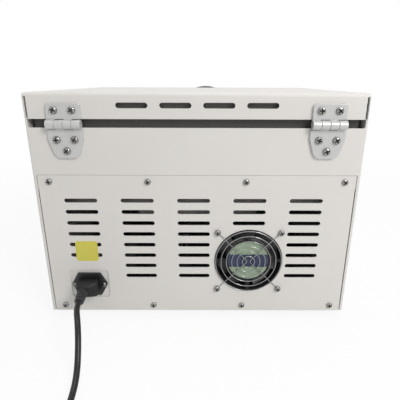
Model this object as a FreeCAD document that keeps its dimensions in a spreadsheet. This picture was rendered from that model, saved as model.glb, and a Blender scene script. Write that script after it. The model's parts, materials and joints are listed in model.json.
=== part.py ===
"""Bench reflow oven with a flip-top lid, as a parametric document.

Millimetres, +Z up, the rear of the oven towards +Y. The floor is at Z = 0 and the origin
lies under the middle of the oven, handle and hinges included.
"""
import FreeCAD, Part
import math
import os
from types import SimpleNamespace

import Sketcher
from FreeCAD import Placement, Rotation, Vector

# Driving dimensions

SIZES = {
    # casing and panels
    "body_width": 403.5,
    "body_depth": 345.0,
    "feet_height": 12.0,
    "panel_height": 194.0,
    "band_height": 57.5,
    "rear_notch": 9.5,
    "notch_side": 2.9,
    "notch_radius": 2.0,
    "casing_sheet": 2.0,
    "side_fold": 3.75,
    "corner_bend": 1.6,
    "panel_sheet": 1.5,
    "panel_gap": 0.5,
    "panel_top_gap": 0.2,
    "panel_side_gap": 1.2,
    "lip_width": 14.0,
    "rail_drop": 18.0,
    "rail_lap": 8.0,
    "tray_sheet": 1.5,
    "tray_flange": 16.0,
    "ledge_width": 12.0,
    # rear panel openings
    "slot_length": 41.5,
    "slot_height": 5.3,
    "slot_first_x": 146.5,
    "slot_pitch_x": 71.0,
    "slot_drop": 33.1,
    "slot_pitch_z": 15.2,
    # screws
    "panel_screw": 4.0,
    "panel_screw_head": 8.0,
    "panel_screw_length": 7.0,
    "panel_screw_side": 15.0,
    "panel_screw_margin": 8.5,
    "small_screw": 3.0,
    "small_screw_head": 5.8,
    "small_screw_length": 9.0,
    "hinge_screw": 5.0,
    "hinge_screw_head": 9.2,
    "hinge_screw_length": 8.0,
    "screw_head_ratio": 0.36,
    "screw_clearance": 0.25,
    # fan
    "fan_x": -67.8,
    "fan_z": 88.4,
    "fan_size": 92.0,
    "fan_depth": 25.0,
    "fan_bore": 88.0,
    "fan_opening": 90.5,
    "fan_screw_pitch": 82.5,
    "fan_screw": 4.0,
    "fan_screw_head": 7.8,
    "fan_corner": 4.0,
    "fan_hub": 58.0,
    "hub_plate": 3.0,
    "hub_strut": 5.0,
    "motor_radius": 16.0,
    "motor_height": 12.0,
    "shaft_radius": 2.5,
    "running_fit": 0.05,
    "impeller_height": 18.0,
    "impeller_wall": 2.5,
    "impeller_gap": 1.0,
    "blade_tip_gap": 1.6,
    "blade_chord": 14.0,
    "blade_sheet": 1.8,
    # fan guard
    "guard_first_ring": 8.0,
    "guard_ring_pitch": 7.1,
    "guard_wire": 1.6,
    "guard_apex": 4.0,
    "guard_eye": 4.4,
    # power inlet, connector and strain relief
    "inlet_side": 55.85,
    "inlet_z": 53.9,
    "inlet_screw_pitch": 39.0,
    "inlet_window_width": 51.0,
    "inlet_window_height": 41.0,
    "inlet_window_corner": 4.0,
    "inlet_plate_lap": 4.0,
    "inlet_plate_sheet": 1.5,
    "inlet_width": 46.6,
    "inlet_height": 33.2,
    "inlet_ear": 3.0,
    "inlet_shoulder": 29.8,
    "inlet_flange": 3.5,
    "inlet_body_width": 28.0,
    "inlet_body_height": 30.0,
    "inlet_body_depth": 24.0,
    "socket_width": 24.4,
    "socket_height": 17.0,
    "socket_corner": 4.5,
    "socket_depth": 20.0,
    "socket_clearance": 0.4,
    "pin_pitch": 14.0,
    "pin_offset": 3.5,
    "pin_thickness": 2.0,
    "pin_width": 4.0,
    "pin_length": 16.0,
    "grip_width": 27.0,
    "grip_height": 21.0,
    "grip_length": 13.0,
    "tail_width": 14.0,
    "tail_height": 13.8,
    "tail_length": 7.0,
    "tail_lean": 3.4,
    "relief_length": 22.0,
    "relief_radius": 6.8,
    "relief_tip": 5.5,
    "relief_groove": 1.3,
    "relief_lean": 6.0,
    # mains cord, its coil and wall plug
    "cord_diameter": 7.0,
    "cord_first_run": 8.5,
    "coil_turn_step": 7.6,
    "coil_inner_radius": 28.0,
    "coil_x": 31.0,
    "coil_y": 224.0,
    "coil_approach": 26.0,
    "coil_lead": 42.0,
    "tie_sheet": 1.2,
    "tie_width": 9.0,
    "plug_width": 27.0,
    "plug_length": 30.0,
    "plug_neck": 15.0,
    "plug_neck_length": 14.0,
    "blade_pitch": 12.7,
    "plug_blade_width": 6.3,
    "plug_blade_thickness": 1.5,
    "plug_blade_length": 18.0,
    "earth_pin_radius": 2.4,
    "earth_pin_offset": 6.0,
    # chamber
    "chamber_side": 36.75,
    "chamber_end": 42.5,
    "chamber_depth": 88.0,
    "chamber_sheet": 1.2,
    "flange_drop": 1.5,
    "wool_thickness": 15.0,
    "jacket_sheet": 1.0,
    "jacket_rail_length": 160.0,
    "jacket_rail_width": 22.0,
    "jacket_rail_height": 13.0,
    "jacket_rail_inset": 8.0,
    "tube_diameter": 12.0,
    "tube_end_gap": 15.0,
    "tube_height": 20.0,
    "lower_tube_margin": 25.0,
    "upper_tube_margin": 50.0,
    "holder_sheet": 4.0,
    "holder_height": 32.0,
    "holder_margin": 14.0,
    "rack_height": 46.0,
    "rack_rail": 4.0,
    "rack_bar": 3.0,
    "rack_margin": 3.0,
    "rack_ledge": 9.0,
    "probe_radius": 1.5,
    "probe_length": 60.0,
    "probe_height": 36.0,
    "probe_nut": 5.0,
    # electronics
    "board_width": 140.0,
    "board_length": 100.0,
    "board_sheet": 1.6,
    "board_side": 27.75,
    "board_y": 36.0,
    "standoff_height": 8.0,
    "standoff_radius": 3.0,
    "standoff_inset": 6.0,
    "sink_x": 20.0,
    "sink_y": 40.0,
    "sink_width": 70.0,
    "sink_length": 120.0,
    "sink_base": 5.0,
    "sink_fin": 2.0,
    "sink_fin_height": 28.0,
    "sink_fin_pitch": 8.5,
    "relay_width": 45.0,
    "relay_length": 52.0,
    "relay_height": 23.0,
    "supply_side": 17.75,
    "supply_y": 110.0,
    "supply_width": 70.0,
    "supply_length": 95.0,
    "supply_height": 34.0,
    "terminal_x": 10.0,
    "terminal_y": 250.0,
    "terminal_width": 22.0,
    "terminal_height": 16.0,
    "terminal_pitch": 11.0,
    "terminal_wall": 1.6,
    # front panel
    "front_sheet": 2.0,
    "front_screw_inset": 7.0,
    "front_screw_rise": 8.0,
    "front_screw_drop": 16.0,
    "display_x": -70.0,
    "controls_z": 140.0,
    "display_width": 86.0,
    "display_height": 54.0,
    "display_rim": 7.0,
    "display_depth": 9.0,
    "lens_gap": 0.2,
    "key_first_x": 20.0,
    "key_pitch": 24.0,
    "key_diameter": 12.0,
    "key_gap": 0.35,
    "key_proud": 3.0,
    "key_flange": 1.8,
    "key_travel": 1.2,
    "key_board_height": 24.0,
    "key_switch": 6.0,
    "rocker_side": 53.75,
    "switch_width": 31.0,
    "switch_height": 25.0,
    "switch_bezel": 2.0,
    "switch_wall": 2.6,
    "switch_depth": 22.0,
    "rocker_width": 21.0,
    "rocker_height": 15.0,
    "rocker_proud": 3.0,
    "rocker_thickness": 9.0,
    "rocker_tilt": 9.0,
    "rocker_gap": 0.4,
    "rocker_sweep": 2.2,
    "trunnion_radius": 1.5,
    "trunnion_reach": 1.4,
    # lid
    "lid_gap": 0.5,
    "lid_height": 30.0,
    "lid_bend": 4.5,
    "lid_slot_length": 37.2,
    "lid_slot_height": 6.4,
    "lid_slot_pitch": 51.0,
    "lid_slot_drop": 14.4,
    "lid_slot_shift": 0.7,
    "lid_seam": 2.2,
    "skirt_corner": 2.0,
    "lid_wool_clearance": 5.0,
    "liner_inset": 0.5,
    "liner_sheet": 1.2,
    "recess_height": 22.0,
    "upper_tube_rise": 11.0,
    "upper_holder_drop": 9.0,
    "gasket_inset": 8.0,
    "gasket_width": 12.0,
    "gasket_gap": 0.3,
    # lid handle
    "handle_x": -10.7,
    "handle_bow": 30.0,
    "handle_rod": 10.0,
    "handle_leg": 8.0,
    "handle_tilt": 27.0,
    "handle_drop": 19.5,
    "handle_foot": 8.0,
    "handle_foot_height": 3.0,
    "handle_screw_depth": 12.0,
    # hinges
    "hinge_side": 46.75,
    "hinge_offset": 4.25,
    "hinge_drop": 1.0,
    "knuckle_radius": 5.6,
    "knuckle_pitch": 10.2,
    "knuckle_gap": 0.3,
    "pin_radius": 2.5,
    "leaf_sheet": 3.0,
    "leaf_gap": 0.4,
    "lid_leaf_width": 40.0,
    "lid_leaf_corner": 4.0,
    "lid_leaf_top": 24.3,
    "lid_leaf_screw_rise": 16.4,
    "body_leaf_width": 42.0,
    "body_leaf_tip": 28.0,
    "body_leaf_shoulder": 17.0,
    "body_leaf_corner": 10.0,
    "body_leaf_bottom": 40.2,
    "body_leaf_screw_drop": 18.0,
    "body_leaf_third_drop": 31.2,
    "leaf_screw_pitch": 21.0,
    # feet
    "foot_radius": 12.0,
    "foot_tread": 10.0,
    "foot_side": 41.75,
    "foot_inset": 60.0,
    "foot_seat": 6.0,
}

SLOT_ROWS = (6, 8, 8, 3, 8)      # vent slots in each column, from the +X side
GUARD_RINGS = 6
BLADES = 7
RELIEF_RIBS = 5
LOWER_TUBES = 4
UPPER_TUBES = 3
RACK_BARS = 13
SINK_FINS = 8
TERMINALS = 8
COIL_LAYER_TURNS = 3
KEY_NAMES = ("key_up", "key_down", "key_start", "key_stop")

# Cord route from the strain relief to the coil: X and Y from the inlet on the rear plane, and
# height over the floor, after a first run in line with the strain relief.
CORD_ROUTE = (
    (-2.2, 61.8, 53.0),
    (-6.1, 72.0, 50.4),
    (-9.4, 81.5, 45.0),
    (-11.8, 90.2, 37.0),
    (-13.5, 98.6, 27.4),
    (-15.2, 108.8, 17.0),
    (-17.0, 122.5, 8.6),
    (-18.5, 141.0, 4.8),
    (-19.4, 164.0, 3.9),
)


class Size:
    """A length held both as a spreadsheet expression and as its number."""

    def __init__(self, text, value):
        self.text = text
        self.value = value

    def _joined(self, other, sign, value):
        return Size(f"({self.text} {sign} {other.text})", value)

    def __add__(self, other):
        other = as_size(other)
        return self._joined(other, "+", self.value + other.value)

    def __sub__(self, other):
        other = as_size(other)
        return self._joined(other, "-", self.value - other.value)

    def __mul__(self, other):
        other = as_size(other)
        return self._joined(other, "*", self.value * other.value)

    def __truediv__(self, other):
        other = as_size(other)
        return self._joined(other, "/", self.value / other.value)

    def __neg__(self):
        return Size(f"(-{self.text})", -self.value)


def as_size(value):
    """Give a plain number the form of a Size."""
    return value if isinstance(value, Size) else Size(f"({float(value)!r})", float(value))


def cosine(angle):
    """Give the cosine of a size in degrees."""
    return Size(f"cos({angle.text})", math.cos(math.radians(angle.value)))


# Document and sheet

doc = FreeCAD.newDocument("reflow_oven")
sheet = doc.addObject("Spreadsheet::Sheet", "sizes")
for row, (name, number) in enumerate(SIZES.items(), start=1):
    sheet.set(f"A{row}", name)
    sheet.set(f"B{row}", str(number))
    sheet.setAlias(f"B{row}", name)
doc.recompute()
s = SimpleNamespace(**{name: Size(f"sizes.{name}", float(sheet.get(name))) for name in SIZES})

# Places that follow from the driving dimensions

SHEET = s.casing_sheet
PANEL = s.panel_sheet
HALF = s.body_width / 2
INNER = HALF - SHEET
FOLD = HALF - s.side_fold
HINGE_REACH = s.hinge_offset + s.knuckle_radius
HANDLE_REACH = (s.handle_leg + s.handle_bow) * cosine(s.handle_tilt) + s.handle_rod / 2
REAR = (s.body_depth + HANDLE_REACH - HINGE_REACH) / 2
FRONT = REAR - s.body_depth
MIDDLE = (REAR + FRONT) / 2
FLOOR = s.feet_height
SEAM = FLOOR + s.panel_height
BAND_TOP = SEAM + s.band_height
RIM = BAND_TOP + s.rear_notch
LID_BOTTOM = RIM + s.lid_gap
LID_TOP = LID_BOTTOM + s.lid_height
LIP_FRONT = FRONT + s.front_sheet
LIP_BACK = LIP_FRONT + SHEET
PANEL_BACK = REAR - PANEL
TRAY_TOP = FLOOR + s.tray_sheet
FLANGE_TOP = BAND_TOP - s.flange_drop
FLANGE_BOTTOM = FLANGE_TOP - s.chamber_sheet
CHAMBER_FLOOR = FLANGE_TOP - s.chamber_depth
CHAMBER_HALF = HALF - s.chamber_side
CHAMBER_FRONT = FRONT + s.chamber_end
CHAMBER_REAR = REAR - s.chamber_end
CHAMBER_LENGTH = CHAMBER_REAR - CHAMBER_FRONT
LINER_BOTTOM = LID_BOTTOM + s.liner_inset
RECESS_TOP = LID_BOTTOM + s.recess_height
HINGE_Y = REAR + s.hinge_offset
HINGE_Z = BAND_TOP + (s.rear_notch + s.lid_gap) / 2 - s.hinge_drop
BOARD_X = s.board_side - INNER
INLET_X = HALF - s.inlet_side
CORD_X = INLET_X + s.tail_lean
INLET_FACE = PANEL_BACK + s.inlet_flange
GRIP_START = INLET_FACE + s.socket_clearance
RELIEF_START = GRIP_START + s.grip_length + s.tail_length
CORD_RADIUS = s.cord_diameter / 2
COIL_X = INLET_X + s.coil_x
COIL_Y = REAR + s.coil_y
COIL_LOW = s.tie_sheet + s.socket_clearance + CORD_RADIUS
COIL_HIGH = COIL_LOW + s.coil_turn_step
COIL_OUTER = s.coil_inner_radius + s.coil_turn_step * COIL_LAYER_TURNS
PANEL_SCREW_XS = [(FOLD - s.panel_screw_side) * k for k in (-1, -1 / 3, 1 / 3, 1)]
PANEL_SCREW_ZS = (FLOOR + s.panel_screw_margin, SEAM - s.panel_screw_margin)
FAN_SCREWS = [(s.fan_x + s.fan_screw_pitch * (i / 2), s.fan_z + s.fan_screw_pitch * (k / 2))
              for i in (-1, 1) for k in (-1, 1)]
INLET_WINDOW = (s.inlet_window_width / 2, s.inlet_window_height / 2)
INLET_SCREWS = [(INLET_X + s.inlet_screw_pitch * (i / 2), s.inlet_z) for i in (-1, 1)]
FRONT_SCREWS = [((INNER - s.front_screw_inset) * i, z) for i in (-1, 1)
                for z in (FLOOR + s.tray_flange + s.front_screw_rise, RIM - s.front_screw_drop)]
FEET = [((HALF - s.foot_side) * i, y) for i in (-1, 1)
        for y in (FRONT + s.foot_inset, REAR - s.foot_inset)]
HINGE_XS = (s.hinge_side - HALF, HALF - s.hinge_side)
BODY_LEAF_SCREWS = [(x + dx, HINGE_Z - dz) for x in HINGE_XS
                    for dx, dz in ((s.leaf_screw_pitch / -2, s.body_leaf_screw_drop),
                                   (s.leaf_screw_pitch / 2, s.body_leaf_screw_drop),
                                   (as_size(0), s.body_leaf_third_drop))]
LID_LEAF_SCREWS = [(x + s.leaf_screw_pitch * (i / 2), HINGE_Z + s.lid_leaf_screw_rise)
                   for x in HINGE_XS for i in (-1, 1)]
HANDLE_Z = LID_TOP - s.handle_drop
HANDLE_SCREWS = [(s.handle_x + s.handle_bow * i, HANDLE_Z) for i in (-1, 1)]
SWITCH_CAVITY = (s.rocker_width / 2 + s.rocker_gap, s.rocker_height / 2 + s.rocker_sweep)
SWITCH_BODY = (SWITCH_CAVITY[0] + s.switch_wall, SWITCH_CAVITY[1] + s.switch_wall)
ROCKER_X = HALF - s.rocker_side
ROCKER_Y = FRONT - s.rocker_proud + s.rocker_thickness / 2

# Drawing helpers

NODES = []
PLANES = {"x": ("YZ_Plane", 1), "y": ("XZ_Plane", -1), "z": ("XY_Plane", 1)}
TURNS = {"x": Rotation(Vector(0, 1, 0), 90), "y": Rotation(Vector(1, 0, 0), -90), "z": Rotation()}
SCREW_TURNS = {"+y": Rotation(), "-y": Rotation(Vector(0, 0, 1), 180),
               "-z": Rotation(Vector(1, 0, 0), -90), "+z": Rotation(Vector(1, 0, 0), 90)}
sketch_signs = {}


def bind(obj, path, size):
    """Tie a property of an object to a size."""
    obj.setExpression(path, as_size(size).text)


def place(obj, at):
    """Tie an object's position to three sizes."""
    for axis, size in zip("xyz", at):
        bind(obj, f"Placement.Base.{axis}", size)


def node(obj, name):
    """Name a finished sub-part and keep it for export."""
    obj.Label = name
    NODES.append(obj)
    return obj


def box(name, low, high):
    """Make a block between two corners."""
    obj = doc.addObject("Part::Box", name)
    for side, start, end in zip(("Length", "Width", "Height"), low, high):
        bind(obj, side, as_size(end) - start)
    place(obj, low)
    return obj


def rod(name, at, axis, radius, length):
    """Make a round bar that starts at a point and runs along an axis."""
    obj = doc.addObject("Part::Cylinder", name)
    obj.Placement = Placement(Vector(), TURNS[axis])
    bind(obj, "Radius", radius)
    bind(obj, "Height", length)
    place(obj, at)
    return obj


def fuse(name, parts):
    """Join several shapes into one solid."""
    obj = doc.addObject("Part::MultiFuse", name)
    obj.Shapes = parts
    return obj


def group(name, parts):
    """Hold several separate solids together."""
    obj = doc.addObject("Part::Compound", name)
    obj.Links = parts
    return obj


def cut(name, base, tools):
    """Take separate tools away from a base."""
    obj = doc.addObject("Part::Cut", name)
    obj.Base = base
    obj.Tool = tools[0] if len(tools) == 1 else group(f"{name}_tools", tools)
    return obj


def shell_box(name, low, high, inner_low, inner_high):
    """Make a block with a block-shaped hollow."""
    return cut(name, box(f"{name}_outer", low, high), [box(f"{name}_inner", inner_low, inner_high)])


def new_body(name):
    """Start a sub-part that is built from sketches."""
    return node(doc.addObject("PartDesign::Body", name), name)


def sketch_on(body, axis, at, title):
    """Start a sketch square to an axis, at a place along it."""
    plane, sign = PLANES[axis]
    sketch = body.newObject("Sketcher::SketchObject", f"{body.Name}_{title}")
    sketch.AttachmentSupport = [(next(f for f in body.Origin.OriginFeatures if f.Role == plane), "")]
    sketch.MapMode = "FlatFace"
    bind(sketch, "AttachmentOffset.Base.z", as_size(at) * sign)
    sketch_signs[sketch.Name] = sign
    return sketch


def pin_point(sketch, geometry, end, x, y):
    """Fix a point of a sketch at two sizes from the sketch's origin."""
    for kind, size in (("DistanceX", as_size(x)), ("DistanceY", as_size(y))):
        index = sketch.addConstraint(Sketcher.Constraint(kind, -1, 1, geometry, end, size.value))
        bind(sketch, f"Constraints[{index}]", size)


def fix_radius(sketch, geometry, radius):
    """Fix the radius of a circle or arc."""
    index = sketch.addConstraint(Sketcher.Constraint("Radius", geometry, radius.value))
    bind(sketch, f"Constraints[{index}]", radius)


def polygon(sketch, points):
    """Draw a closed outline of straight lines."""
    points = [(as_size(x), as_size(y)) for x, y in points]
    corners = [Vector(x.value, y.value, 0) for x, y in points]
    first = sketch.GeometryCount
    count = len(points)
    for i, corner in enumerate(corners):
        sketch.addGeometry(Part.LineSegment(corner, corners[(i + 1) % count]))
    for i, (x, y) in enumerate(points):
        sketch.addConstraint(Sketcher.Constraint("Coincident", first + i, 2, first + (i + 1) % count, 1))
        pin_point(sketch, first + i, 1, x, y)


def rectangle(sketch, x0, y0, x1, y1):
    """Draw a rectangle between two corners."""
    polygon(sketch, [(x0, y0), (x1, y0), (x1, y1), (x0, y1)])


def disc(sketch, x, y, radius):
    """Draw a circle."""
    x, y, radius = as_size(x), as_size(y), as_size(radius)
    index = sketch.addGeometry(Part.Circle(Vector(x.value, y.value, 0), Vector(0, 0, 1), radius.value))
    pin_point(sketch, index, 3, x, y)
    fix_radius(sketch, index, radius)


def slot(sketch, x, y, length, height):
    """Draw a level slot with round ends."""
    radius = height / 2
    ends = (x - length / 2 + radius, x + length / 2 - radius)
    first = sketch.GeometryCount
    left, right = (Vector(end.value, y.value, 0) for end in ends)
    rise = Vector(0, radius.value, 0)
    quarter = math.pi / 2
    for centre, start in ((left, quarter), (right, -quarter)):
        circle = Part.Circle(centre, Vector(0, 0, 1), radius.value)
        sketch.addGeometry(Part.ArcOfCircle(circle, start, start + math.pi))
    sketch.addGeometry(Part.LineSegment(left - rise, right - rise))
    sketch.addGeometry(Part.LineSegment(right + rise, left + rise))
    for a, b in ((0, 2), (2, 1), (1, 3), (3, 0)):
        sketch.addConstraint(Sketcher.Constraint("Tangent", first + a, 2, first + b, 1))
    sketch.addConstraint(Sketcher.Constraint("Equal", first, first + 1))
    for i, end in enumerate(ends):
        pin_point(sketch, first + i, 3, end, y)
    fix_radius(sketch, first, radius)


def pad(body, sketch, length, way):
    """Add material from a sketch, along (1) or against (-1) its axis."""
    feature = body.newObject("PartDesign::Pad", f"{sketch.Name}_pad")
    feature.Profile = sketch
    feature.Reversed = way != sketch_signs[sketch.Name]
    bind(feature, "Length", length)
    return feature


def pocket(body, sketch, depth, way):
    """Take material away from a sketch, along (1) or against (-1) its axis."""
    feature = body.newObject("PartDesign::Pocket", f"{sketch.Name}_pocket")
    feature.Profile = sketch
    feature.Reversed = way == sketch_signs[sketch.Name]
    bind(feature, "Length", depth)
    return feature


def repeat(body, features, sketch, axis, spacing, count, backwards=False):
    """Repeat features along an axis of their sketch."""
    feature = body.newObject("PartDesign::LinearPattern", f"{features[0].Name}_row")
    feature.Originals = features
    feature.Direction = (sketch, [axis])
    feature.Reversed = backwards
    bind(feature, "Length", spacing * (count - 1))
    feature.Occurrences = count
    body.Tip = feature
    return feature


def loft(body, profile, section):
    """Add material between two sketches."""
    feature = body.newObject("PartDesign::AdditiveLoft", f"{profile.Name}_loft")
    feature.Profile = profile
    feature.Sections = [section]
    feature.Ruled = True
    return feature


def revolve(body, sketch, axis="V_Axis"):
    """Turn a sketch all the way round one of its axes."""
    feature = body.newObject("PartDesign::Revolution", f"{sketch.Name}_turned")
    feature.Profile = sketch
    feature.ReferenceAxis = (sketch, [axis])
    feature.Angle = 360
    return feature


def round_edges(body, base, radius, pick):
    """Round the edges of a feature that the pick function takes."""
    doc.recompute()
    names = [f"Edge{i}" for i, edge in enumerate(base.Shape.Edges, start=1) if pick(edge)]
    feature = body.newObject("PartDesign::Fillet", f"{base.Name}_round")
    feature.Base = (base, names)
    bind(feature, "Radius", radius)
    return feature


def is_straight(edge, axis):
    """Say whether an edge is a straight line along x, y or z."""
    spans = {"x": edge.BoundBox.XLength, "y": edge.BoundBox.YLength, "z": edge.BoundBox.ZLength}
    return abs(spans[axis] - edge.Length) < 1e-6


def is_near(value, size):
    """Say whether a number is a size's value."""
    return abs(value - size.value) < 1e-3


def screw_profile(name, diameter, head, length):
    """Draw half of a pan-head screw, its axis along Y and the seat of its head at Y = 0."""
    radius, rim, rise = diameter / 2, head / 2, head * s.screw_head_ratio
    sketch = doc.addObject("Sketcher::SketchObject", name)
    polygon(sketch, [(0, -length), (radius, -length), (radius, 0), (rim, 0), (rim, rise / 2),
                     (rim * 0.68, rise), (0, rise)])
    return sketch


def screws(name, profile, places, towards):
    """Set one screw at each place, its head towards a side."""
    made = []
    for i, at in enumerate(places):
        screw = doc.addObject("Part::Revolution", f"{name}_{i}")
        screw.Source = profile
        screw.Axis = Vector(0, 1, 0)
        screw.Base = Vector()
        screw.Angle = 360
        screw.Solid = True
        screw.Placement = Placement(Vector(), SCREW_TURNS[towards])
        place(screw, at)
        made.append(screw)
    return node(group(name, made), name)


# Casing

def outer_casing():
    """Side walls with folded edges, front lips and upper rear band of one sheet, with a rail inside."""
    body = new_body("outer_casing")
    lip = INNER - s.lip_width
    right = [(HALF, REAR), (HALF, FRONT), (INNER, FRONT), (INNER, LIP_FRONT), (lip, LIP_FRONT),
             (lip, LIP_BACK), (INNER, LIP_BACK), (INNER, REAR - SHEET)]
    walls = sketch_on(body, "z", FLOOR, "walls")
    polygon(walls, right + [(-x, y) for x, y in reversed(right)])
    wrapped = pad(body, walls, RIM - FLOOR, 1)
    round_edges(body, wrapped, s.corner_bend,
                lambda edge: is_straight(edge, "z") and is_near(edge.BoundBox.YMax, REAR))
    opening = sketch_on(body, "y", REAR, "opening")
    rectangle(opening, -FOLD, 0, FOLD, SEAM)
    pocket(body, opening, SHEET, -1)
    notch = sketch_on(body, "y", REAR, "notch")
    notch_end = HALF - s.notch_side
    rectangle(notch, -notch_end, BAND_TOP, notch_end, RIM + SHEET)
    notched = pocket(body, notch, SHEET, -1)
    round_edges(body, notched, s.notch_radius,
                lambda edge: is_straight(edge, "y") and is_near(edge.Length, SHEET)
                and is_near(edge.BoundBox.ZMax, BAND_TOP))
    rail = sketch_on(body, "x", -INNER, "rail")
    polygon(rail, [(PANEL_BACK - SHEET, SEAM - s.rail_drop), (PANEL_BACK, SEAM - s.rail_drop),
                   (PANEL_BACK, SEAM), (REAR - SHEET / 2, SEAM), (REAR - SHEET / 2, SEAM + s.rail_lap),
                   (PANEL_BACK - SHEET, SEAM + s.rail_lap)])
    pad(body, rail, INNER * 2, 1)
    rear_holes = sketch_on(body, "y", REAR, "rear_holes")
    for x in PANEL_SCREW_XS:
        disc(rear_holes, x, PANEL_SCREW_ZS[1], s.panel_screw / 2)
    for x, z in BODY_LEAF_SCREWS:
        disc(rear_holes, x, z, s.hinge_screw / 2)
    pocket(body, rear_holes, PANEL + SHEET, -1)
    front_holes = sketch_on(body, "y", FRONT, "front_holes")
    for x, z in FRONT_SCREWS:
        disc(front_holes, x, z, s.panel_screw / 2)
    pocket(body, front_holes, s.front_sheet + SHEET, 1)


def base_tray():
    """Folded floor tray with pressed-in standoffs for the control board."""
    body = new_body("base_tray")
    outline = sketch_on(body, "z", FLOOR, "outline")
    rectangle(outline, -FOLD, LIP_BACK, FOLD, PANEL_BACK)
    pad(body, outline, s.tray_flange, 1)
    hollow = sketch_on(body, "z", TRAY_TOP, "hollow")
    rectangle(hollow, s.tray_sheet - FOLD, LIP_BACK + s.tray_sheet, FOLD - s.tray_sheet,
              PANEL_BACK - s.tray_sheet)
    pocket(body, hollow, s.tray_flange, 1)
    standoffs = sketch_on(body, "z", TRAY_TOP, "standoffs")
    for x in (BOARD_X + s.standoff_inset, BOARD_X + s.board_width - s.standoff_inset):
        for y in (FRONT + s.board_y + s.standoff_inset,
                  FRONT + s.board_y + s.board_length - s.standoff_inset):
            disc(standoffs, x, y, s.standoff_radius)
    pad(body, standoffs, s.standoff_height, 1)
    flange_holes = sketch_on(body, "y", PANEL_BACK, "flange_holes")
    for x in PANEL_SCREW_XS:
        disc(flange_holes, x, PANEL_SCREW_ZS[0], s.panel_screw / 2)
    pocket(body, flange_holes, s.tray_sheet, -1)
    foot_holes = sketch_on(body, "z", FLOOR, "foot_holes")
    for x, y in FEET:
        disc(foot_holes, x, y, s.panel_screw / 2)
    pocket(body, foot_holes, s.tray_sheet, 1)


def rubber_feet():
    """Four turned feet, each with a seat for its screw head."""
    profile = doc.addObject("Sketcher::SketchObject", "foot_profile")
    bore = s.panel_screw / 2
    seat = s.panel_screw_head / 2 + s.screw_clearance
    polygon(profile, [(bore, FLOOR), (bore, s.foot_seat), (seat, s.foot_seat), (seat, 0),
                      (s.foot_tread, 0), (s.foot_radius, FLOOR)])
    feet = []
    for i, (x, y) in enumerate(FEET):
        foot = doc.addObject("Part::Revolution", f"rubber_foot_{i}")
        foot.Source = profile
        foot.Axis = Vector(0, 1, 0)
        foot.Base = Vector()
        foot.Angle = 360
        foot.Solid = True
        foot.Placement = Placement(Vector(), Rotation(Vector(1, 0, 0), 90))
        place(foot, (x, y, 0))
        feet.append(foot)
    node(group("rubber_feet", feet), "rubber_feet")


# Rear panel and what it carries

def rear_panel():
    """Slotted rear plate with the fan opening and a window round the power inlet."""
    body = new_body("rear_panel")
    outline = sketch_on(body, "y", REAR, "outline")
    side = FOLD - s.panel_side_gap
    rectangle(outline, -side, FLOOR, side, SEAM - s.panel_top_gap)
    pad(body, outline, PANEL, -1)
    openings = sketch_on(body, "y", REAR, "openings")
    disc(openings, s.fan_x, s.fan_z, s.fan_opening / 2)
    for x, z in FAN_SCREWS:
        disc(openings, x, z, s.fan_screw / 2 + s.screw_clearance)
    for x in PANEL_SCREW_XS:
        for z in PANEL_SCREW_ZS:
            disc(openings, x, z, s.panel_screw / 2 + s.screw_clearance)
    pocket(body, openings, PANEL, -1)
    window = sketch_on(body, "y", REAR, "window")
    wide, tall = INLET_WINDOW
    rectangle(window, INLET_X - wide, s.inlet_z - tall, INLET_X + wide, s.inlet_z + tall)
    framed = pocket(body, window, PANEL, -1)
    round_edges(body, framed, s.inlet_window_corner,
                lambda edge: is_straight(edge, "y") and is_near(abs(edge.BoundBox.XMin - INLET_X.value), wide)
                and is_near(abs(edge.BoundBox.ZMin - s.inlet_z.value), tall))
    for rows in sorted(set(SLOT_ROWS)):
        vents = sketch_on(body, "y", REAR, f"vents_{rows}")
        for column, count in enumerate(SLOT_ROWS):
            if count == rows:
                slot(vents, s.slot_first_x - s.slot_pitch_x * column, SEAM - s.slot_drop,
                     s.slot_length, s.slot_height)
        first = pocket(body, vents, PANEL, -1)
        repeat(body, [first], vents, "V_Axis", s.slot_pitch_z, rows, backwards=True)


def fan_frame():
    """Square fan housing with its motor plate on four struts."""
    body = new_body("fan_frame")
    outline = sketch_on(body, "y", PANEL_BACK, "outline")
    edge = s.fan_size / 2
    rectangle(outline, s.fan_x - edge, s.fan_z - edge, s.fan_x + edge, s.fan_z + edge)
    square = pad(body, outline, s.fan_depth, -1)
    round_edges(body, square, s.fan_corner, lambda line: is_straight(line, "y"))
    bore = sketch_on(body, "y", PANEL_BACK, "bore")
    disc(bore, s.fan_x, s.fan_z, s.fan_bore / 2)
    for x, z in FAN_SCREWS:
        disc(bore, x, z, s.fan_screw / 2)
    pocket(body, bore, s.fan_depth, -1)
    hub = sketch_on(body, "y", PANEL_BACK, "hub")
    disc(hub, s.fan_x, s.fan_z, s.fan_hub / 2)
    pad(body, hub, s.hub_plate, -1)
    reach, half = s.fan_bore / 2 + s.hub_plate / 2, s.hub_strut / 2
    for title, wide, tall in (("strut_level", reach, half), ("strut_upright", half, reach)):
        strut = sketch_on(body, "y", PANEL_BACK, title)
        rectangle(strut, s.fan_x - wide, s.fan_z - tall, s.fan_x + wide, s.fan_z + tall)
        pad(body, strut, s.hub_plate, -1)


def fan_motor():
    """Wound stator on the motor plate, bored for the shaft."""
    face = PANEL_BACK - s.hub_plate
    back = face - s.motor_height
    core = rod("fan_motor_core", (s.fan_x, back, s.fan_z), "y", s.motor_radius, s.motor_height)
    bore = rod("fan_motor_bore", (s.fan_x, back, s.fan_z), "y", s.shaft_radius + s.running_fit,
               s.motor_height)
    node(cut("fan_motor", core, [bore]), "fan_motor")


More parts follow.
